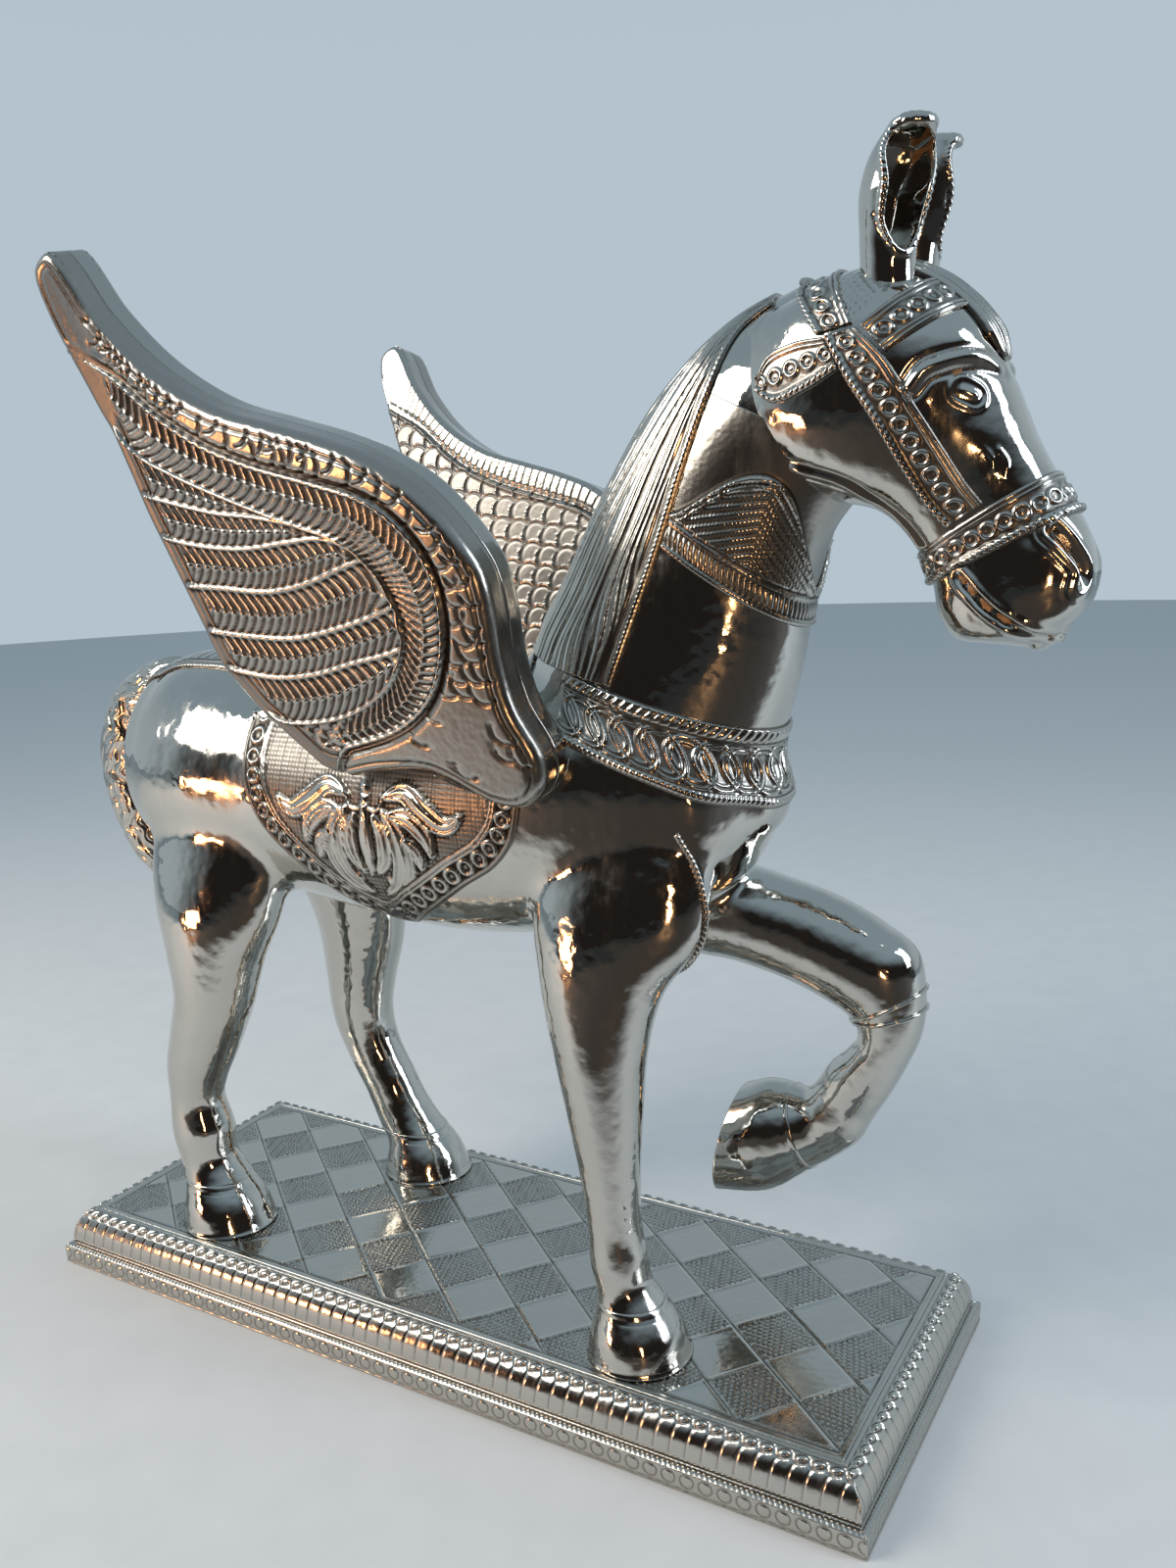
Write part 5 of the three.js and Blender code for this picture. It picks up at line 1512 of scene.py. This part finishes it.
def over_head(name, inner, outer, wire=False):
    """A strap over the head's top. In side view its rays go from the points `inner` to the points `outer`."""
    origins = np.linspace(*inner, STRAP_ROWS)
    goals = np.linspace(*outer, STRAP_ROWS)
    grid = blurred(fan(whole_tree, origins, goals - origins, 230), 3)
    band_piece(name, grid, strap_relief(grid, wire), towards=IN_HEAD)


over_head("crown_strap", ((168.5, 378), (180.5, 380.5)), ((146, 408), (164, 412)), wire=True)
over_head("brow_band", ((183, 380), (191.5, 370.8)), ((212, 404), (222, 392)))
print("straps over the head", 2)

# %% Cheek straps
cheek_rear = [(171.5, 377), (177, 367), (187, 351), (196.6, 333.5), (203, 323), (208.4, 316.6)]
cheek_front = [(182, 379), (191, 370), (201, 354), (209, 340.6), (216, 329), (220, 324)]
tab_top = [(171, 377.2), (161, 376.7), (151, 373), (147.6, 367)]
tab_low = [(177, 367), (165, 361), (154, 358.2), (147.6, 362)]
cheek_parts = {
    "strap": between(cheek_rear, cheek_front, 190, STRAP_ROWS),
    "tab": between(tab_low, tab_top, 80, 42),
}
for side, name in ((-1, "right"), (1, "left")):
    for part, lines in cheek_parts.items():
        grid = blurred(pressed(whole_tree, side, lines), 3)
        band_piece(f"{name}_cheek_{part}", grid, strap_relief(grid, wire=True), f"{name}_cheek_strap",
                   towards=IN_HEAD)
print("cheek straps", 2, "with tabs", 2)

# %% Nose band
NOSE_RINGS = 26
origins = np.linspace((213, 318), (221.5, 308), STRAP_ROWS)
goals = np.linspace((240, 334), (251, 322.5), STRAP_ROWS)
nose = fan(head_tree, origins, goals - origins, 421, turn=180, rays=240)[:, :-1]
nose = blurred(nose, 3, wrap=True)
along, across, width = measured(nose)
relief = ring_row(along, across - width / 2, along[0, -1] * 2 / NOSE_RINGS, RING_RADIUS) - 0.6
relief += two_rails(across) + rail(width - across - 2.6, 0.45, 0.6)
relief += rope(along, width - across - 1.2, 2.2, 1.3, 1.5)
band_piece("nose_band", nose, relief, wrap=True, towards=(217, 0, 313 + plinth_top))
print("nose band", nose.shape[:2])

# %% [markdown]
# ## Forelock
# A lock of mane falls over the brow band to between the eyes. It could be a loft like the tail. Here it is
# a sheet cast onto the head, so it follows the forehead, and only its height makes it a lock.

# %% Forelock
LOCK_ROWS, LOCK_LANES = 110, 60
LOCK_HALF_WIDTH = 9
brow_line = curve_through([(186, 397), (192, 397), (201, 392.5), (209, 383), (215, 373.5), (219, 366.5)],
                          LOCK_ROWS)
run = np.gradient(brow_line, axis=0)
run /= np.linalg.norm(run, axis=1)[:, None]
lanes = np.linspace(-1, 1, LOCK_LANES)
share = np.linspace(0, 1, LOCK_ROWS)
taper = np.clip(share / 0.12, 0.5, 1) * np.clip((1.02 - share) / 0.2, 0, 1) ** 0.5
lock = np.empty((LOCK_ROWS, LOCK_LANES, 3))
for row, ((x, z), (rx, rz)) in enumerate(zip(brow_line, run)):
    outward = np.array([-rz, 0, rx]) * (1 if rx > 0 else -1)
    for lane, aside in enumerate(lanes):
        start = np.array([x, aside * LOCK_HALF_WIDTH * taper[row], z + plinth_top]) - outward * 12
        lock[row, lane] = cast(whole_tree, start, outward)
lock = blurred(lock, 3)
along, across, _ = measured(lock)
height = np.sqrt(np.clip(1 - lanes**2, 0, 1))[None, :] * taper[:, None]
strands = pleats(lanes[None, :] * 3.5 + 0.5 + 0.12 * np.sin(across / 9), 0.5)
hairs = pleats(lanes[None, :] * 11 + 0.3 * np.sin(across / 7), 0.8)
relief = 3.6 * height * (0.6 + 0.32 * strands + 0.08 * hairs) - TRIM + 0.2
band_piece("forelock_sheet", lock, relief, slot="hair_sheet", depth=0.5, towards=(180, 0, 370))
print("forelock", lock.shape[:2])

# %% [markdown]
# ## Wires on the skin
# A milled wire covers the seam from the breast collar down to the right foreleg, and two plain wires go
# round the raised knee. A curve with a bevel would make a plain wire, but a loft also takes the milled
# one's twisted notches.

# %% Wires
def wire_piece(name, line, radius, replaced, milled=True):
    """A wire half sunk in the skin, along the skin's nearest points to a line."""
    line = curve_through(line, round(run_lengths(line)[-1] / 0.4))
    found = [skin_tree.find_nearest(Vector(place)) for place in line]
    feet = np.array([place for place, *_ in found])
    feet = blurred(feet[:, None], 6)[:, 0]
    upright = np.array([normal for _, normal, *_ in found])
    upright = blurred(upright[:, None], 12)[:, 0]
    upright /= np.linalg.norm(upright, axis=1)[:, None]
    aside = np.cross(np.gradient(feet, axis=0), upright)
    aside /= np.linalg.norm(aside, axis=1)[:, None]
    angles = np.linspace(0, 2 * np.pi, 12, endpoint=False)
    notch = np.ones((1, 1))
    if milled:
        notch = pleats(run_lengths(feet)[:, None] / 2.2 + angles / (2 * np.pi), 0.6)
    reach = (radius * (0.72 + 0.28 * notch))[..., None]
    grid = (feet + upright * radius * 0.5)[:, None] + reach * (
        upright[:, None] * np.cos(angles)[:, None] + aside[:, None] * np.sin(angles)[:, None])
    closed_lofts(name, [grid], "stamped_sheet", replaced, material=chased)


seam = [(119.5, 39.6, 238), (121.6, 36.4, 231), (125.7, 35.6, 222), (127.5, 34.4, 210), (126.4, 34.2, 199.4),
        (121, 33, 188), (112, 27, 180)]
wire_piece("right_chest_seam", [(a, -b, c) for a, b, c in seam], 1.2, "trunk_sheet_right")
knee_middle = np.array([175, 33.7, 156.5])
for number, (shift, slope) in enumerate(((-1.0, -62), (3.6, -74))):
    heading = np.array([np.cos(np.radians(slope)), 0, np.sin(np.radians(slope))])
    lean = np.array([-heading[2], 0, heading[0]])
    centre = knee_middle + heading * shift
    turns = np.linspace(0, 2 * np.pi, 49)
    rays = [lean * np.cos(turn) + np.array([0, 1, 0]) * np.sin(turn) for turn in turns]
    ring = [skin_tree.ray_cast(Vector(centre), Vector(ray))[0] for ray in rays]
    wire_piece(f"knee_wire_{number + 1}", np.array(ring), 0.75, "left_shin_sheet", milled=False)
print("wires", 3)

# %% [markdown]
# ## Plinth
# The plinth's top is one sheet, chased with inch squares that stand on their corners. Every other square is
# matted with rows of short punch strokes and the rest are left bright. The four edge sheets run over a
# half-round moulding, down a ledge and over the rim: the moulding has slanted flutes that end in a drop,
# the ledge is milled, and the rim has a row of circles on the long sides and slanted strokes at the ends.

# %% Plinth top
HALF_LENGTH, HALF_WIDTH = 203, 76
MOULDING_WIDTH = 12.5
STEP = 0.74             # mesh step of the top sheet, mm
SQUARE = 25.4
BORDER = 3.4            # width of the plain border of the top sheet, mm
reach_x = HALF_LENGTH - MOULDING_WIDTH - 0.3
reach_y = HALF_WIDTH - MOULDING_WIDTH - 0.3
x, y = np.meshgrid(np.arange(-reach_x, reach_x + 0.1, 2 * reach_x / round(2 * reach_x / STEP)),
                   np.arange(-reach_y, reach_y + 0.1, 2 * reach_y / round(2 * reach_y / STEP)), indexing="ij")
turn = np.radians(52)
u = (x * np.cos(turn) + y * np.sin(turn)) / SQUARE + 0.28
v = (y * np.cos(turn) - x * np.sin(turn)) / SQUARE + 0.13
in_border = np.minimum(reach_x - np.abs(x), reach_y - np.abs(y))
in_field = in_border > BORDER
matted = ((np.floor(u) + np.floor(v)) % 2 == 0) & in_field
rows = v * SQUARE / 2.1 + 0.25 * np.sin(u * 9)
strokes = pleats(rows, 1) * pleats(u * SQUARE / 2.6 + 0.5 * np.floor(rows), 0.7)
to_row = np.abs(u - np.round(u)) * SQUARE
to_column = np.abs(v - np.round(v)) * SQUARE
to_line = np.minimum(to_row, to_column)
relief = -0.45 * np.where(matted, 1 - ease(strokes * 1.4), 0) * ease((to_line - 0.5) / 0.8)
relief = np.minimum(relief, -0.55 * hump(to_row, 0.6) * in_field)
relief += 0.4 * hump(to_column, 0.5) * ease((to_row - 0.6) / 0.6) * in_field
relief = np.minimum(relief, 0.4 - 0.85 * (hump(in_border - 1.2, 0.45) + hump(in_border - 3.0, 0.45)))
polish_and_shade = 0.15 * ease((to_line - 0.5) / 0.8) * matted
top = np.stack([x, y, np.full(x.shape, plinth_top)], 2)
chased_piece("plinth_top_sheet", top, relief, "plinth_sheet", towards=(0, 0, 0), polish_and_shade=polish_and_shade)
print("top sheet", relief.shape, "squares of", SQUARE, "mm")

# %% Profile of the plinth's edges
RIM_HEIGHT = 8.7
RIM_LEDGE = 3
UNDERCUT = 2            # how far the moulding's roundest level stands above the ledge
middle = RIM_HEIGHT + UNDERCUT
tall = plinth_top - middle
angles = np.linspace(-np.arcsin(UNDERCUT / tall), np.pi / 2, 60)
moulding = np.stack([MOULDING_WIDTH - (MOULDING_WIDTH - RIM_LEDGE) * np.cos(angles),
                     middle + tall * np.sin(angles)], 1)
corners = np.concatenate([[(0, 0.3), (0, RIM_HEIGHT)], moulding])
profile = even_steps(corners, 76)
profile[1:-1] = (profile[:-2] + 2 * profile[1:-1] + profile[2:]) / 4
print("profile of", len(profile), "points,", run_lengths(corners)[-1].round(1), "mm round")

# %% Relief of the plinth's edges
FLUTE = 6.5             # pitch of the moulding's flutes, mm


def long_side(along, up):
    """Circles on the rim, a milled ledge, and flutes with a drop at the top of each."""
    ring = np.hypot(from_nearest(along, 7.5), up - 4.4)
    relief = -0.5 * hump(ring - 2.7, 0.5) - 0.4 * hump(up - 0.9, 0.4)
    return relief + flutes(along, up, -1)


def short_side(along, up):
    """Slanted strokes on the rim and steeper flutes."""
    strokes = pleats(along / 5 - 0.12 * up, 0.5)
    relief = 0.5 * (strokes - 1) * ((up > 1.4) & (up < 7.6)) - 0.4 * hump(up - 0.9, 0.4)
    return relief + flutes(along, up, 1)


def flutes(along, up, hand):
    """The milled ledge, the groove above it, and on the moulding curved lines that hang from raised drops."""
    ledge = rope(along, up - 10.2, 2.1, 1.5, 0.8) - 0.7 * hump(up - 12.4, 0.6)
    below = np.maximum(27.6 - up, 0)
    sway = hand * (2.4 * (1 - np.exp(-below / 2.6)) + 0.1 * below)
    gap = from_nearest(along - sway, FLUTE)
    line = -0.36 * hump(gap, 0.42) * ease((up - 13.6) / 1.5) * ease((27.8 - up) / 1)
    aside = from_nearest(along + 0.6 * hand, FLUTE)
    size = np.hypot(aside / 2.1, (up - 27.9 + 0.25 * hand * aside) / 1.15)
    drop = 0.8 * ease((1.15 - size) / 0.5) - 0.45 * hump(size - 1.4, 0.25)
    return ledge + line + drop - 0.45 * hump(up - 30.6, 0.45)


print("flutes every", FLUTE, "mm")

# %% Plinth edge sheets
def plinth_edge(name, turn, relief_of):
    reach, run = (HALF_WIDTH, HALF_LENGTH) if turn % 2 == 0 else (HALF_LENGTH, HALF_WIDTH)
    inset, height = profile.T
    along = np.linspace(-1, 1, round(2 * run / 0.42))[:, None] * (run - inset - 0.15)
    up = np.broadcast_to(run_lengths(profile), along.shape)
    base = np.stack(np.broadcast_arrays(along, inset - reach, height), 2)
    cosine, sine = round(np.cos(turn * np.pi / 2)), round(np.sin(turn * np.pi / 2))
    base = base @ np.array([(cosine, sine, 0), (-sine, cosine, 0), (0, 0, 1.0)])
    chased_piece("plinth_edge_sheet_" + name, base, relief_of(along, up), "plinth_sheet",
                 towards=(0, 0, 0), stride=4)


plinth_sides = [("right", long_side), ("head_end", short_side), ("left", long_side), ("tail_end", short_side)]
for turn, (name, relief_of) in enumerate(plinth_sides):
    plinth_edge(name, turn, relief_of)
print("edge sheets", len(plinth_sides))
